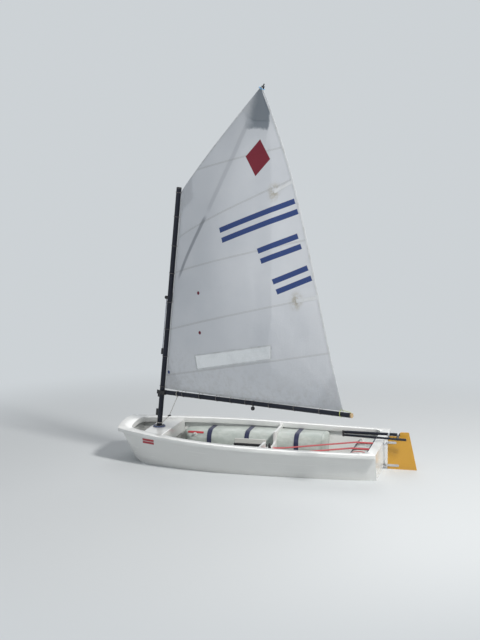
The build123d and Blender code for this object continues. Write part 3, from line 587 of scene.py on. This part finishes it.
def onSail(x, z, off=0.0):  # a place on the flat sail, on the bellied one
    u, v = sailUV(x, z)
    depth = sailDepth(u, v)
    free = math.sin(math.pi * min(1, max(0, u))) ** 0.5 * min(1.0, max(0.0, v) * 8.0)
    local = Vector((x, depth + clothWave(x, z) * free, z))
    if off:
        step = 1e-3
        slopeX = (sailDepth(*sailUV(x + step, z)) - depth) / step
        slopeZ = (sailDepth(*sailUV(x, z + step)) - depth) / step
        local -= Vector((-slopeX, 1.0, -slopeZ)).normalized() * off
    return rigOrigin + rigAft * local.x + rigSide * local.y + rigUp * local.z


def keepPlane(bm, verts):  # the flat places, kept as the UV that the cloth's finish reads
    layer = bm.loops.layers.uv.get("sailPlane") or bm.loops.layers.uv.new("sailPlane")
    for face in {face for vert in verts for face in vert.link_faces}:
        for loop in face.loops:
            loop[layer].uv = (loop.vert.co.x, loop.vert.co.z)


def liftFlat(verts, off=0.0):
    for vert in verts:
        vert.co = onSail(vert.co.x, vert.co.z, off)


def keepOnCloth(verts):
    for vert in verts:
        u, v = sailUV(vert.co.x, vert.co.z)
        if not (0 <= u <= 1 and 0 <= v <= 1):
            x, z = flatPoint(min(1.0, max(0.0, u)), min(1.0, max(0.0, v)))
            vert.co = Vector((x, 0, z))


def flatPatch(bm, corners, rows, columns):
    made = bmesh.ops.create_grid(bm, x_segments=columns, y_segments=rows, size=0.5)["verts"]
    a, b, c, d = [Vector((x, 0, z)) for x, z in corners]
    for vert in made:
        s, t = vert.co.x + 0.5, vert.co.y + 0.5
        vert.co = (a * (1 - s) + b * s) * t + (d * (1 - s) + c * s) * (1 - t)
    return made


def insideQuad(point, corners):
    signs = []
    for (ax, az), (bx, bz) in zip(corners, corners[1:] + corners[:1]):
        signs.append((bx - ax) * (point.z - az) - (bz - az) * (point.x - ax) > 0)
    return all(signs) or not any(signs)


def growQuad(corners, by):
    middleX = sum(x for x, z in corners) / 4
    middleZ = sum(z for x, z in corners) / 4
    return [(x + math.copysign(by, x - middleX), z + math.copysign(by, z - middleZ)) for x, z in corners]


def measureLine(x, z, start, end):  # along a line on the sail, off it, and its length
    (ax, az), (bx, bz) = start, end
    length = math.hypot(bx - ax, bz - az)
    tx, tz = (bx - ax) / length, (bz - az) / length
    return (x - ax) * tx + (z - az) * tz, (x - ax) * -tz + (z - az) * tx, length


def span(along, length, soft):  # 1 from the line's start to its end
    return along.rise(-soft, soft) * (1 - along.rise(length - soft, length + soft))


def distance(x, z, centre, tall=1.0):
    x, z = x - centre[0], z - centre[1]
    return (x * x + z * z * tall).root()


def sailcloth():
    marks, tint = sailMarks, sailTints
    paint = Finish("sailcloth")
    x, z = paint.sailPlane()
    place = paint.place()
    weave = (x * marks["weave"]).wave() * (z * marks["weave"]).wave()
    crease = paint.cloud(place, 3.2, 6.0, 0.55, stretch=(1.0, 1.0, 1.6))
    crinkle = abs(paint.cloud(place, 9.0, 5.0, 0.6, stretch=(1.0, 1.0, 0.45)) - 0.5)
    crinkle = crinkle * x.rise(0.7, 1.25) * (1 - z.rise(0.8, 2.1))
    blotch = paint.cloud(place, 1.7, 5.0, 0.6)
    speck = paint.cloud(place, 26.0, 4.0, 0.6)
    colour = paint.colour(blotch.rise(0.35, 0.72), tint["cloth"], tint["dull"])
    low = (1 - z.rise(0.35, 0.95)) * speck.rise(0.40, 0.72)
    colour = paint.colour(low * 0.30, colour, tint["footDirt"])
    colour = paint.colour(speck.rise(0.66, 0.80) * 0.10, colour, tint["speck"])

    stitch = 0.0
    seam = 0.0
    for start, end in marks["seams"]:
        along, across, length = measureLine(x, z, start, end)
        inside = span(along, length, 0.004)
        seam = seam + across.band(marks["seamHalf"], 0.001) * inside
        dash = (along * marks["stitchPitch"]).wave().rise(-0.3, 0.3)
        row = (abs(across) - marks["stitchOff"]).band(marks["stitchHalf"], 0.0005)
        stitch = stitch + row * inside * dash
    colour = paint.colour((seam * 0.22).clamp(), colour, tint["seam"])
    colour = paint.colour((stitch * 0.8).clamp(), colour, tint["thread"])
    for inner, _ in marks["battens"]:
        rust = (1 - distance(x, z, inner, 0.5).rise(0.0, marks["rustReach"])) * speck.rise(0.35, 0.6)
        colour = paint.colour(rust * 0.65, colour, tint["rust"])
    # Painted shadow of the sprit, seen through the backlit cloth
    for start, end, half, depth in marks["spritShadow"]:
        along, across, length = measureLine(x, z, start, end)
        across = across + (crease - 0.5) * 0.012
        ends = along.rise(0.0, 0.12) * (1 - along.rise(length - 0.05, length + 0.02))
        shadowed = across.band(half * 0.5, half) * ends
        colour = paint.colour((shadowed * depth).clamp(), colour, tint["spritShadow"])

    # Painted shade at the peak, with a ragged edge, and a fainter painted shade fading out below it
    up = z - marks["peakShadeZ"]
    ragged = speck * 0.05 + crease * 0.06
    right = 1 - (x + ragged * 0.6 - 0.05 - up * 0.04).rise(0.905, 0.925)
    left = (x - up * 0.10 + ragged * 0.8).rise(0.72, 0.84)
    under = (z + ragged * 0.9).rise(2.755, 2.785)
    haze = (z + ragged).rise(2.45, 2.95) * right * 0.45
    colour = paint.colour((right * left * under * 0.72 + haze * 0.35).clamp(), colour, tint["peakShade"])

    (emblemX, emblemZ), reach = marks["emblemAt"], marks["emblemReach"]
    lozenge = abs(x - emblemX) * 1.25 + abs(z - emblemZ)
    colour = paint.colour((1 - lozenge.rise(reach, reach + 0.003)) * 0.985, colour, tint["emblem"])
    stripes = 0.0
    for start, end in marks["stripes"]:
        along, across, length = measureLine(x, z, start, end)
        pair = (abs(across) - marks["stripeGap"]).band(marks["stripeHalf"], 0.002)
        stripes = stripes + pair * span(along, length, 0.002)
    colour = paint.colour((stripes * 0.98).clamp(), colour, tint["stripe"])
    radius = marks["dotRadius"]
    for centre, dotTint in marks["dots"]:
        colour = paint.colour(1 - distance(x, z, centre).rise(radius, radius + 0.002), colour, dotTint)

    height = weave * 0.12 + crease * 3.0 - crinkle * 9.0 + stitch * 0.6 + seam * 0.8
    normal = paint.bump(height, 0.5, 0.0012)
    skin = paint.body(colour, 0.52 + speck * 0.12, {"Normal": normal, "Sheen Weight": 0.08})
    through = paint.node("ShaderNodeBsdfTranslucent", {}, {"Color": colour, "Normal": normal})
    return paint.end(paint.node("ShaderNodeMixShader", {}, [0.34, skin, through]))


def clearFilm():
    paint = Finish("windowFilm")
    place = paint.place()
    ripple = paint.cloud(place, 9.0, 4.0, 0.6)
    haze = paint.cloud(place, 40.0, 4.0, 0.6)
    extra = {
        "Normal": paint.bump(ripple * 2.0, 0.3, 0.001), "Alpha": 0.22 + ripple.rise(0.45, 0.8) * 0.08,
        "Coat Weight": 0.2, "Coat Roughness": 0.05,
    }
    return paint.end(paint.body(sailTints["film"], 0.14 + haze * 0.08, extra))


def makeSail(cloth):
    cut, corners = sailCut, sailMarks["window"]
    bm = bmesh.new()
    bmesh.ops.create_grid(bm, x_segments=cut["columns"], y_segments=cut["rows"], size=0.5)
    for vert in bm.verts:
        x, z = flatPoint(vert.co.x + 0.5, vert.co.y + 0.5)
        vert.co = Vector((x, 0, z))
    for (ax, az), (bx, bz) in zip(corners, corners[1:] + corners[:1]):
        cutAt(bm, (ax, 0, az), (bz - az, 0, ax - bx), dist=1e-5)
    gone = [face for face in bm.faces if insideQuad(face.calc_center_median(), corners)]
    bmesh.ops.delete(bm, geom=gone, context="FACES")
    keepPlane(bm, bm.verts)
    liftFlat(bm.verts)
    sail = finishMesh("sail_cloth", bm, cloth, "rig")
    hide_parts("sail")
    thicken(sail, cut["thickness"])

    bm = bmesh.new()
    flatPatch(bm, growQuad(corners, sailMarks["windowLap"]), 10, 60)
    keepPlane(bm, bm.verts)
    liftFlat(bm.verts)
    finishMesh("sail_window", bm, clearFilm(), "rig")
    return sail


# Tapes along the sail's edges, round its window and over its battens
tapeLook = dict(
    off=0.0017, thickness=0.0005, windowWidth=0.012, battenWidth=0.030, weave=3100.0, zigzag=700.0,
    tint=(0.70, 0.72, 0.74), dirt=(0.47, 0.47, 0.45), thread=(0.42, 0.42, 0.40),
    edges=[  # edge of the cloth, steps, then how far from it the tape's two sides are
        dict(edge=lambda t: flatPoint(0.0, t), steps=40, one=(0.001, 0.0), other=(0.024, 0.0)),
        dict(edge=lambda t: flatPoint(1.0, t), steps=48, one=(-0.015, -0.004), other=(0.0, 0.0)),
        dict(edge=lambda t: flatPoint(t, 0.0), steps=40, one=(0.0, 0.018), other=(0.0, 0.0)),
        dict(edge=lambda t: flatPoint(t, 1.0), steps=30, one=(0.0, 0.0), other=(0.0, -0.018)),
    ],
)


def tapeCloth():
    look = tapeLook
    paint = Finish("sailTape")
    x, z = paint.sailPlane()
    weave = (x * look["weave"]).wave() * (z * look["weave"]).wave()
    grime = paint.cloud(paint.place(), 18.0, 5.0, 0.6)
    zigzag = ((x + z) * look["zigzag"]).wave()
    colour = paint.colour(grime.rise(0.42, 0.78) * 0.5, look["tint"], look["dirt"])
    colour = paint.colour(zigzag.rise(0.55, 0.9) * 0.18, colour, look["thread"])
    normal = paint.bump(weave * 0.3 + zigzag * 0.5, 0.45, 0.0006)
    return paint.end(paint.body(colour, 0.6, {"Normal": normal, "Sheen Weight": 0.1}))


def straightTape(bm, start, end, width, columns):
    (ax, az), (bx, bz) = start, end
    length = math.hypot(bx - ax, bz - az)
    nx, nz = -(bz - az) / length * width / 2, (bx - ax) / length * width / 2
    flatPatch(bm, [(ax + nx, az + nz), (bx + nx, bz + nz), (bx - nx, bz - nz), (ax - nx, az - nz)], 2, columns)


def edgeTape(bm, edge, steps, one, other):
    for i in range(steps):
        (ax, az), (bx, bz) = edge(i / steps), edge((i + 1) / steps)
        corners = [(ax + one[0], az + one[1]), (bx + one[0], bz + one[1])]
        corners += [(bx + other[0], bz + other[1]), (ax + other[0], az + other[1])]
        flatPatch(bm, corners, 2, 2)


def makeSailTapes():
    look, window = tapeLook, sailMarks["window"]
    cloth = tapeCloth()
    tapes = []
    for name, side in (("port", 1), ("starboard", -1)):
        bm = bmesh.new()
        for a, b in zip(window, window[1:] + window[:1]):
            straightTape(bm, a, b, look["windowWidth"], 30)
        for row in look["edges"]:
            edgeTape(bm, **row)
        for a, b in sailMarks["battens"]:
            straightTape(bm, a, b, look["battenWidth"], 10)
        bmesh.ops.remove_doubles(bm, verts=bm.verts, dist=1e-5)
        keepOnCloth(bm.verts)
        keepPlane(bm, bm.verts)
        liftFlat(bm.verts, look["off"] * side)
        tape = finishMesh("sail_tapes_" + name, bm, cloth, "rig", smooth=False)
        thicken(tape, look["thickness"])
        tapes.append(tape)
    return tapes


cornerPatches = [  # corners on the flat sail, and how far off the cloth
    dict(corners=[(1.888, 0.557), (1.66, 0.538), (1.70, 0.72), (1.79, 0.86)], off=0.0024),
    dict(corners=[(1.888, 0.557), (1.76, 0.548), (1.78, 0.66), (1.84, 0.74)], off=0.0030),
    dict(corners=[(0.034, 0.362), (0.034, 0.60), (0.15, 0.52), (0.22, 0.40)], off=0.0024),
    dict(corners=[(0.034, 2.132), (0.15, 2.27), (0.20, 2.08), (0.034, 1.93)], off=0.0024),
    dict(corners=[(0.832, 3.070), (0.66, 2.868), (0.80, 2.79), (0.925, 2.80)], off=0.0024),
]


def makePatches(cloth):
    patches = []
    for name, side in (("port", 1), ("starboard", -1)):
        bm = bmesh.new()
        for row in cornerPatches:
            made = flatPatch(bm, row["corners"], 10, 10)
            keepPlane(bm, made)
            keepOnCloth(made)
            liftFlat(made, row["off"] * side)
        patches.append(finishMesh("sail_patches_" + name, bm, cloth, "rig"))
    return patches


def ringMesh(bm, centre, axis, radius, thickness, steps=20):
    before = set(bm.verts)
    stand = Matrix.Translation((radius, 0, 0)) @ Matrix.Rotation(math.radians(90), 4, "X")
    bmesh.ops.create_circle(bm, segments=8, radius=thickness, matrix=stand)
    section = [vert for vert in bm.verts if vert not in before]
    section += {edge for vert in section for edge in vert.link_edges}
    turn = math.radians(360)
    bmesh.ops.spin(bm, geom=section, cent=(0, 0, 0), axis=(0, 0, 1), angle=turn, steps=steps, use_merge=True)
    ring = [vert for vert in bm.verts if vert not in before]
    bmesh.ops.transform(bm, matrix=Matrix.Translation(centre) @ turnTo(axis), verts=ring)


eyeletLook = dict(
    radius=0.0068, wire=0.0017, fromLuff=0.008, fromFoot=0.009, corners=[(1.866, 0.572), (0.826, 3.045)],
    luff=[0.378, 0.656, 0.903, 1.146, 1.405, 1.649, 1.906, 2.118],
    foot=[0.250, 0.440, 0.626, 0.780, 0.937, 1.180, 1.430, 1.680],
)


def makeEyelets():
    look = eyeletLook
    luffX, clewX = sailCut["tack"][0], sailCut["clew"][0]
    places = [(luffX + look["fromLuff"], z) for z in look["luff"]]
    places += [(x, flatPoint((x - luffX) / (clewX - luffX), 0.0)[1] + look["fromFoot"]) for x in look["foot"]]
    bm = bmesh.new()
    for x, z in places + look["corners"]:
        ringMesh(bm, onSail(x, z), rigSide, look["radius"], look["wire"])
    finishMesh("sail_eyelets", bm, finishes["steel"], "rig", outward=True)


say("sail")
cloth = sailcloth()
sail = makeSail(cloth)
tapes = makeSailTapes()
patches = makePatches(cloth)
makeEyelets()

# Buoyancy bags, swelled between their straps
bagLook = dict(
    voxel=0.009, pressure=4.0, frames=20, stiff=12.0, startIn=0.002, proud=0.0085, hold=0.0045, undertow=0.0006,
    freeBy=0.045, calmBy=0.05, quality=4, mass=0.25, bend=0.4, weave=2400.0,
    seamX=(0.700, -0.560), sternSeamY=0.300, sternFrom=-0.87, seamHalf=0.003,
    tint=(0.44, 0.49, 0.46), pale=(0.56, 0.60, 0.57), seam=(0.30, 0.34, 0.33), dirt=(0.30, 0.31, 0.27),
)


def bagCloth():
    look = bagLook
    paint = Finish("bagCloth")
    place = paint.place()
    x, y, z = paint.split(place)
    weave = ((x + z) * look["weave"]).wave() * ((y - x) * look["weave"]).wave()
    fold = paint.cloud(place, 7.0, 4.0, 0.6, stretch=(1.0, 2.0, 2.6))
    crumple = paint.cloud(place, 24.0, 3.0, 0.5)
    grime = paint.cloud(place, 11.0, 5.0, 0.65)
    colour = paint.colour(fold.rise(0.35, 0.7), look["tint"], look["pale"])
    low = 1 - z.rise(0.0, 0.14)
    stern = 1 - x.rise(look["sternFrom"], look["sternFrom"] + 0.01)
    weld = (abs(y) - look["sternSeamY"]).band(look["seamHalf"], 0.001) * stern
    for seamX in look["seamX"]:
        weld = weld + (x - seamX).band(look["seamHalf"], 0.001)
    colour = paint.colour((weld * 0.5).clamp(), colour, look["seam"])
    colour = paint.colour((grime.rise(0.45, 0.75) * 0.35 + low * 0.25).clamp(), colour, look["dirt"])
    rough = 0.40 + grime * 0.18
    normal = paint.bump(weave * 0.10 + fold * 5.0 + crumple * 1.6 + weld * 1.5, 0.55, 0.0016)
    return paint.end(paint.body(colour, rough.clamp(), {"Normal": normal, "Sheen Weight": 0.15, "Coat Weight": 0.15}))


def nearTrees(names):
    graph = bpy.context.evaluated_depsgraph_get()
    return [BVHTree.FromObject(nodes[name], graph) for name in names]


def nearest(trees, point, reach=0.06):
    gaps = [tree.find_nearest(point, reach)[3] for tree in trees]
    return min([gap for gap in gaps if gap is not None], default=reach)


def blowUp(bag):
    look = bagLook
    cloth = bag.modifiers.new("cloth", "CLOTH")
    settings = cloth.settings
    settings.quality = look["quality"]
    settings.mass = look["mass"]
    settings.tension_stiffness = look["stiff"]
    settings.compression_stiffness = look["stiff"]
    settings.bending_stiffness = look["bend"]
    settings.use_pressure = True
    settings.uniform_pressure_force = look["pressure"]
    settings.effector_weights.gravity = 0.0
    settings.vertex_group_mass = "held"
    cloth.point_cache.frame_start = 1
    cloth.point_cache.frame_end = look["frames"]
    for moment in range(1, look["frames"] + 1):
        bpy.context.scene.frame_set(moment)
    applyModifiers(bag)
    bpy.context.scene.frame_set(1)


def swell(name, neighbours, lowered, cloth):
    look = bagLook
    bag = newObject(name + "_cloth", nodes[name].data.copy())
    bag.data.materials.clear()
    remesh = bag.modifiers.new("remesh", "REMESH")
    remesh.mode = "VOXEL"
    remesh.voxel_size = look["voxel"]
    applyModifiers(bag)
    # Held where a neighbour touches it, freer with distance, and lower under the lowered pieces
    trees, calm = nearTrees(neighbours), nearTrees(lowered)
    held = bag.vertex_groups.new(name="held")
    freedom = []
    outward = [vert.normal.copy() for vert in bag.data.vertices]
    for vert, normal in zip(bag.data.vertices, outward):
        gap = nearest(trees, vert.co)
        free = min(1.0, max(0.0, (gap - look["hold"]) / look["freeBy"]))
        under = min(1.0, nearest(calm, vert.co) / look["calmBy"])
        freedom.append((3 * free ** 2 - 2 * free ** 3) * under ** 2)
        held.add([vert.index], 1.0 if gap < look["hold"] else 0.0, "REPLACE")
        vert.co -= normal * (look["undertow"] + look["startIn"] * freedom[-1])
    start = [vert.co.copy() for vert in bag.data.vertices]
    blowUp(bag)
    moved = [vert.co.copy() for vert in bag.data.vertices]
    # No point goes further than the cap
    cap = look["proud"] + look["startIn"]
    for vert, a, b, free in zip(bag.data.vertices, start, moved, freedom):
        step = b - a
        far = step.length
        if far > 1e-9:
            step *= cap * free * math.tanh(far / cap) / far
        vert.co = a + step
    for face in bag.data.polygons:
        face.use_smooth = True
    bag.data.materials.append(cloth)
    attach(bag, "hull")
    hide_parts(name)
    finer = bag.modifiers.new("finer", "SUBSURF")
    finer.levels = 1
    finer.render_levels = 1
    return bag


say("buoyancy bags")
cloth = bagCloth()
bags = {}
for side in ("port", "starboard"):
    around = ["bag_straps_" + side, "hull_shell", "midship_frame", "gunwale"]
    bags[side] = swell("buoyancy_bag_" + side, around, [], cloth)
around = ["bag_straps_stern", "hull_shell", "gunwale"]
bags["stern"] = swell("buoyancy_bag_stern", around, ["hiking_straps"], cloth)


# Small fittings, each set on the surface that a ray finds
def castTree(*objects):
    bm = bmesh.new()
    for item in objects:
        bm.from_mesh(item.data)
    tree = BVHTree.FromBMesh(bm)
    bm.free()
    return tree


def hit(tree, start, aim):
    return tree.ray_cast(Vector(start), Vector(aim).normalized())[:2]


def stackDiscs(bm, spot, normal, discs, segments):  # discs: radius, top radius, thickness, height of the middle
    for radius, top, deep, middle in discs:
        made = bmesh.ops.create_cone(
            bm, cap_ends=True, segments=segments, radius1=radius, radius2=top, depth=deep
        )["verts"]
        bmesh.ops.transform(bm, matrix=Matrix.Translation(spot + normal * middle) @ turnTo(normal), verts=made)


boltLook = dict(height=0.55, top=0.94, rounding=0.4, socket=0.38, socketDepth=0.5)  # shares of radius and height
rudderBolts = [  # x and z
    (-1.212, 0.226), (-1.240, 0.226), (-1.212, 0.026), (-1.240, 0.026), (-1.268, 0.026),
    (-1.198, 0.272), (-1.278, 0.272),
]
boltRows = [  # pieces under the bolts, where the rays start and where they go
    dict(
        name="gudgeon_bolts", body="hull", under=["gudgeon_upper", "gudgeon_lower"], radius=0.0045,
        starts=[(-1.4, y, z) for z in (0.216, 0.016) for y in (-0.021, 0.021)], aim=(1, 0, 0),
    ),
    dict(
        name="thwart_screws", body="hull", under=["mast_collar"], radius=0.0038,
        starts=[(0.8797 + x, y, 0.4) for y in (0.0238, -0.0238) for x in (0.0238, -0.0238)], aim=(0, 0, -1),
    ),
    dict(
        name="step_screws", body="hull", under=["mast_step"], radius=0.0045,
        starts=[(x, y, 0.2) for x in (0.864, 0.946) for y in (-0.043, 0.043)], aim=(0, 0, -1),
    ),
    dict(
        name="stop_screws", body="board", under=["daggerboard_stop"], radius=0.0030,
        starts=[(x, 0.0135, 0.3) for x in (-0.1, 0.03, 0.162)], aim=(0, 0, -1),
    ),
    dict(
        name="rudder_bolts_port", body="rudder", under=["pintle_upper", "pintle_lower", "tiller_clamps"],
        radius=0.0046, starts=[(x, 0.2, z) for x, z in rudderBolts], aim=(0, -1, 0),
    ),
    dict(
        name="rudder_bolts_starboard", body="rudder", under=["pintle_upper", "pintle_lower", "tiller_clamps"],
        radius=0.0046, starts=[(x, -0.2, z) for x, z in rudderBolts], aim=(0, 1, 0),
    ),
]


def boltHead(radius):  # with a rounded rim and a socket
    look = boltLook
    height, top = radius * look["height"], radius * look["top"]
    bm = bmesh.new()
    bmesh.ops.create_cone(bm, cap_ends=True, segments=20, radius1=radius, radius2=top, depth=height)
    bmesh.ops.translate(bm, vec=(0, 0, height / 2), verts=bm.verts)
    rim = [edge for face in bm.faces if face.normal.z > 0.9 for edge in face.edges]
    offset = height * look["rounding"]
    bmesh.ops.bevel(bm, geom=rim, offset=offset, segments=2, affect="EDGES", profile=0.5, material=-1)
    middle = [max((face for face in bm.faces if face.normal.z > 0.9), key=lambda face: face.calc_area())]
    bmesh.ops.inset_region(bm, faces=middle, thickness=radius * look["socket"], depth=0.0)
    bmesh.ops.inset_region(bm, faces=middle, thickness=radius * 0.02, depth=-height * look["socketDepth"])
    mesh = bpy.data.meshes.new("boltHead")
    bm.to_mesh(mesh)
    bm.free()
    return mesh


def makeBolts():
    for row in boltRows:
        tree = castTree(*[nodes[name] for name in row["under"]])
        head = boltHead(row["radius"])
        bm = bmesh.new()
        for start in row["starts"]:
            spot, normal = hit(tree, start, row["aim"])
            before = len(bm.verts)
            bm.from_mesh(head)
            bm.verts.ensure_lookup_table()
            turn = turnTo(normal) @ Matrix.Rotation(random.uniform(0, 6.28), 4, "Z")
            bmesh.ops.transform(bm, matrix=Matrix.Translation(spot) @ turn, verts=bm.verts[before:])
        finishMesh(row["name"], bm, finishes["steel"], row["body"], smooth=False)
        bpy.data.meshes.remove(head)


trimLook = dict(
    eyeZ=0.16, eyePlate=(0.015, 0.014, 0.004, 0.002), eyeRadius=0.0078, eyeWire=0.0022, eyeOut=0.0095,
    bungs=[(-0.19, -0.052), (0.19, -0.052)], bungRadius=0.018, bungKnob=0.01116,
    gripFrom=0.4190, gripTo=0.5520, gripStep=0.0066, gripRadius=0.0104, gripWire=0.0011,
    extensionPin=(-0.8046, 0.0, 0.276), extensionAim=(-0.99254, 0.12187, 0.0),
)


def makeTrim():
    look = trimLook
    shell = castTree(nodes["hull_shell"])
    bm = bmesh.new()
    spot, normal = hit(shell, (1.6, 0, look["eyeZ"]), (-1, 0, 0))
    stackDiscs(bm, spot, normal, [look["eyePlate"]], 28)
    ringMesh(bm, spot + normal * look["eyeOut"], (0, 1, 0), look["eyeRadius"], look["eyeWire"])
    finishMesh("bow_eye", bm, finishes["steel"], "hull", outward=True)

    bm = bmesh.new()
    for y, z in look["bungs"]:
        spot, normal = hit(shell, (-1.6, y, z), (1, 0, 0))
        rows = [(look["bungRadius"], 0.003), (look["bungKnob"], 0.008)]
        stackDiscs(bm, spot, normal, [(radius, radius * 0.93, deep, deep / 2) for radius, deep in rows], 28)
    finishMesh("drain_bungs", bm, finishes["blackNylon"], "hull", smooth=False)

    bm = bmesh.new()
    pin, aim = Vector(look["extensionPin"]), Vector(look["extensionAim"])
    along = look["gripFrom"]
    while along < look["gripTo"]:
        ringMesh(bm, pin + aim * along, aim, look["gripRadius"], look["gripWire"], 24)
        along += look["gripStep"]
    finishMesh("grip_ribs", bm, finishes["blackNylon"], "extension", outward=True)


# A webbing handle and a valve on each buoyancy bag
handleLook = dict(
    width=0.020, thickness=0.0016, lift=0.0016, rows=26,
    starboard=dict(
        path=[(0.540, -0.02, 0.36), (0.630, -0.01, 0.37), (0.690, -0.02, 0.36)],
        across=(0, -0.62, 0.78), aim=(0, -0.78, -0.62),
    ),
    port=dict(
        path=[(0.540, 0.02, 0.36), (0.630, 0.01, 0.37), (0.690, 0.02, 0.36)],
        across=(0, 0.62, 0.78), aim=(0, 0.78, -0.62),
    ),
    stern=dict(
        path=[(-0.84, 0.19, 0.40), (-0.92, 0.20, 0.40), (-1.0, 0.21, 0.40)], across=(0, 1, 0), aim=(-0.1, 0, -1),
    ),
)
valveLook = dict(
    discs=[(0.021, 0.019, 0.003, 0.001), (0.0085, 0.0075, 0.020, 0.0095), (0.0105, 0.0095, 0.007, 0.0205)],
    starboard=dict(start=(0.62, -0.1, 0.24), aim=(0, -1, -0.6)),
    port=dict(start=(0.62, 0.1, 0.24), aim=(0, 1, -0.6)),
    stern=dict(start=(-0.93, -0.19, 0.4), aim=(-0.05, 0, -1)),
)


def layHandle(bm, tree, path, across, aim):
    look = handleLook
    path = [Vector(point) for point in path]
    bmesh.ops.create_grid(bm, x_segments=4, y_segments=look["rows"], size=0.5)
    for vert in bm.verts:
        share = (vert.co.y + 0.5) * (len(path) - 1)
        part = min(int(share), len(path) - 2)
        start = path[part].lerp(path[part + 1], share - part) + Vector(across) * look["width"] * vert.co.x
        spot, normal = hit(tree, start, aim)
        vert.co = spot + normal * look["lift"]


def makeBagTrim():
    valves = bmesh.new()
    for name in ("starboard", "port", "stern"):
        tree = castTree(bags[name])
        bm = bmesh.new()
        layHandle(bm, tree, **handleLook[name])
        handle = "buoyancy_bag_" + name + "_handle"
        thicken(finishMesh(handle, bm, finishes["red"], "hull", outward=True), handleLook["thickness"])
        spot, normal = hit(tree, **valveLook[name])
        stackDiscs(valves, spot, normal, valveLook["discs"], 24)
    finishMesh("bag_valves", valves, finishes["paleNylon"], "hull", smooth=False)


say("fittings")
makeBolts()
makeTrim()
makeBagTrim()
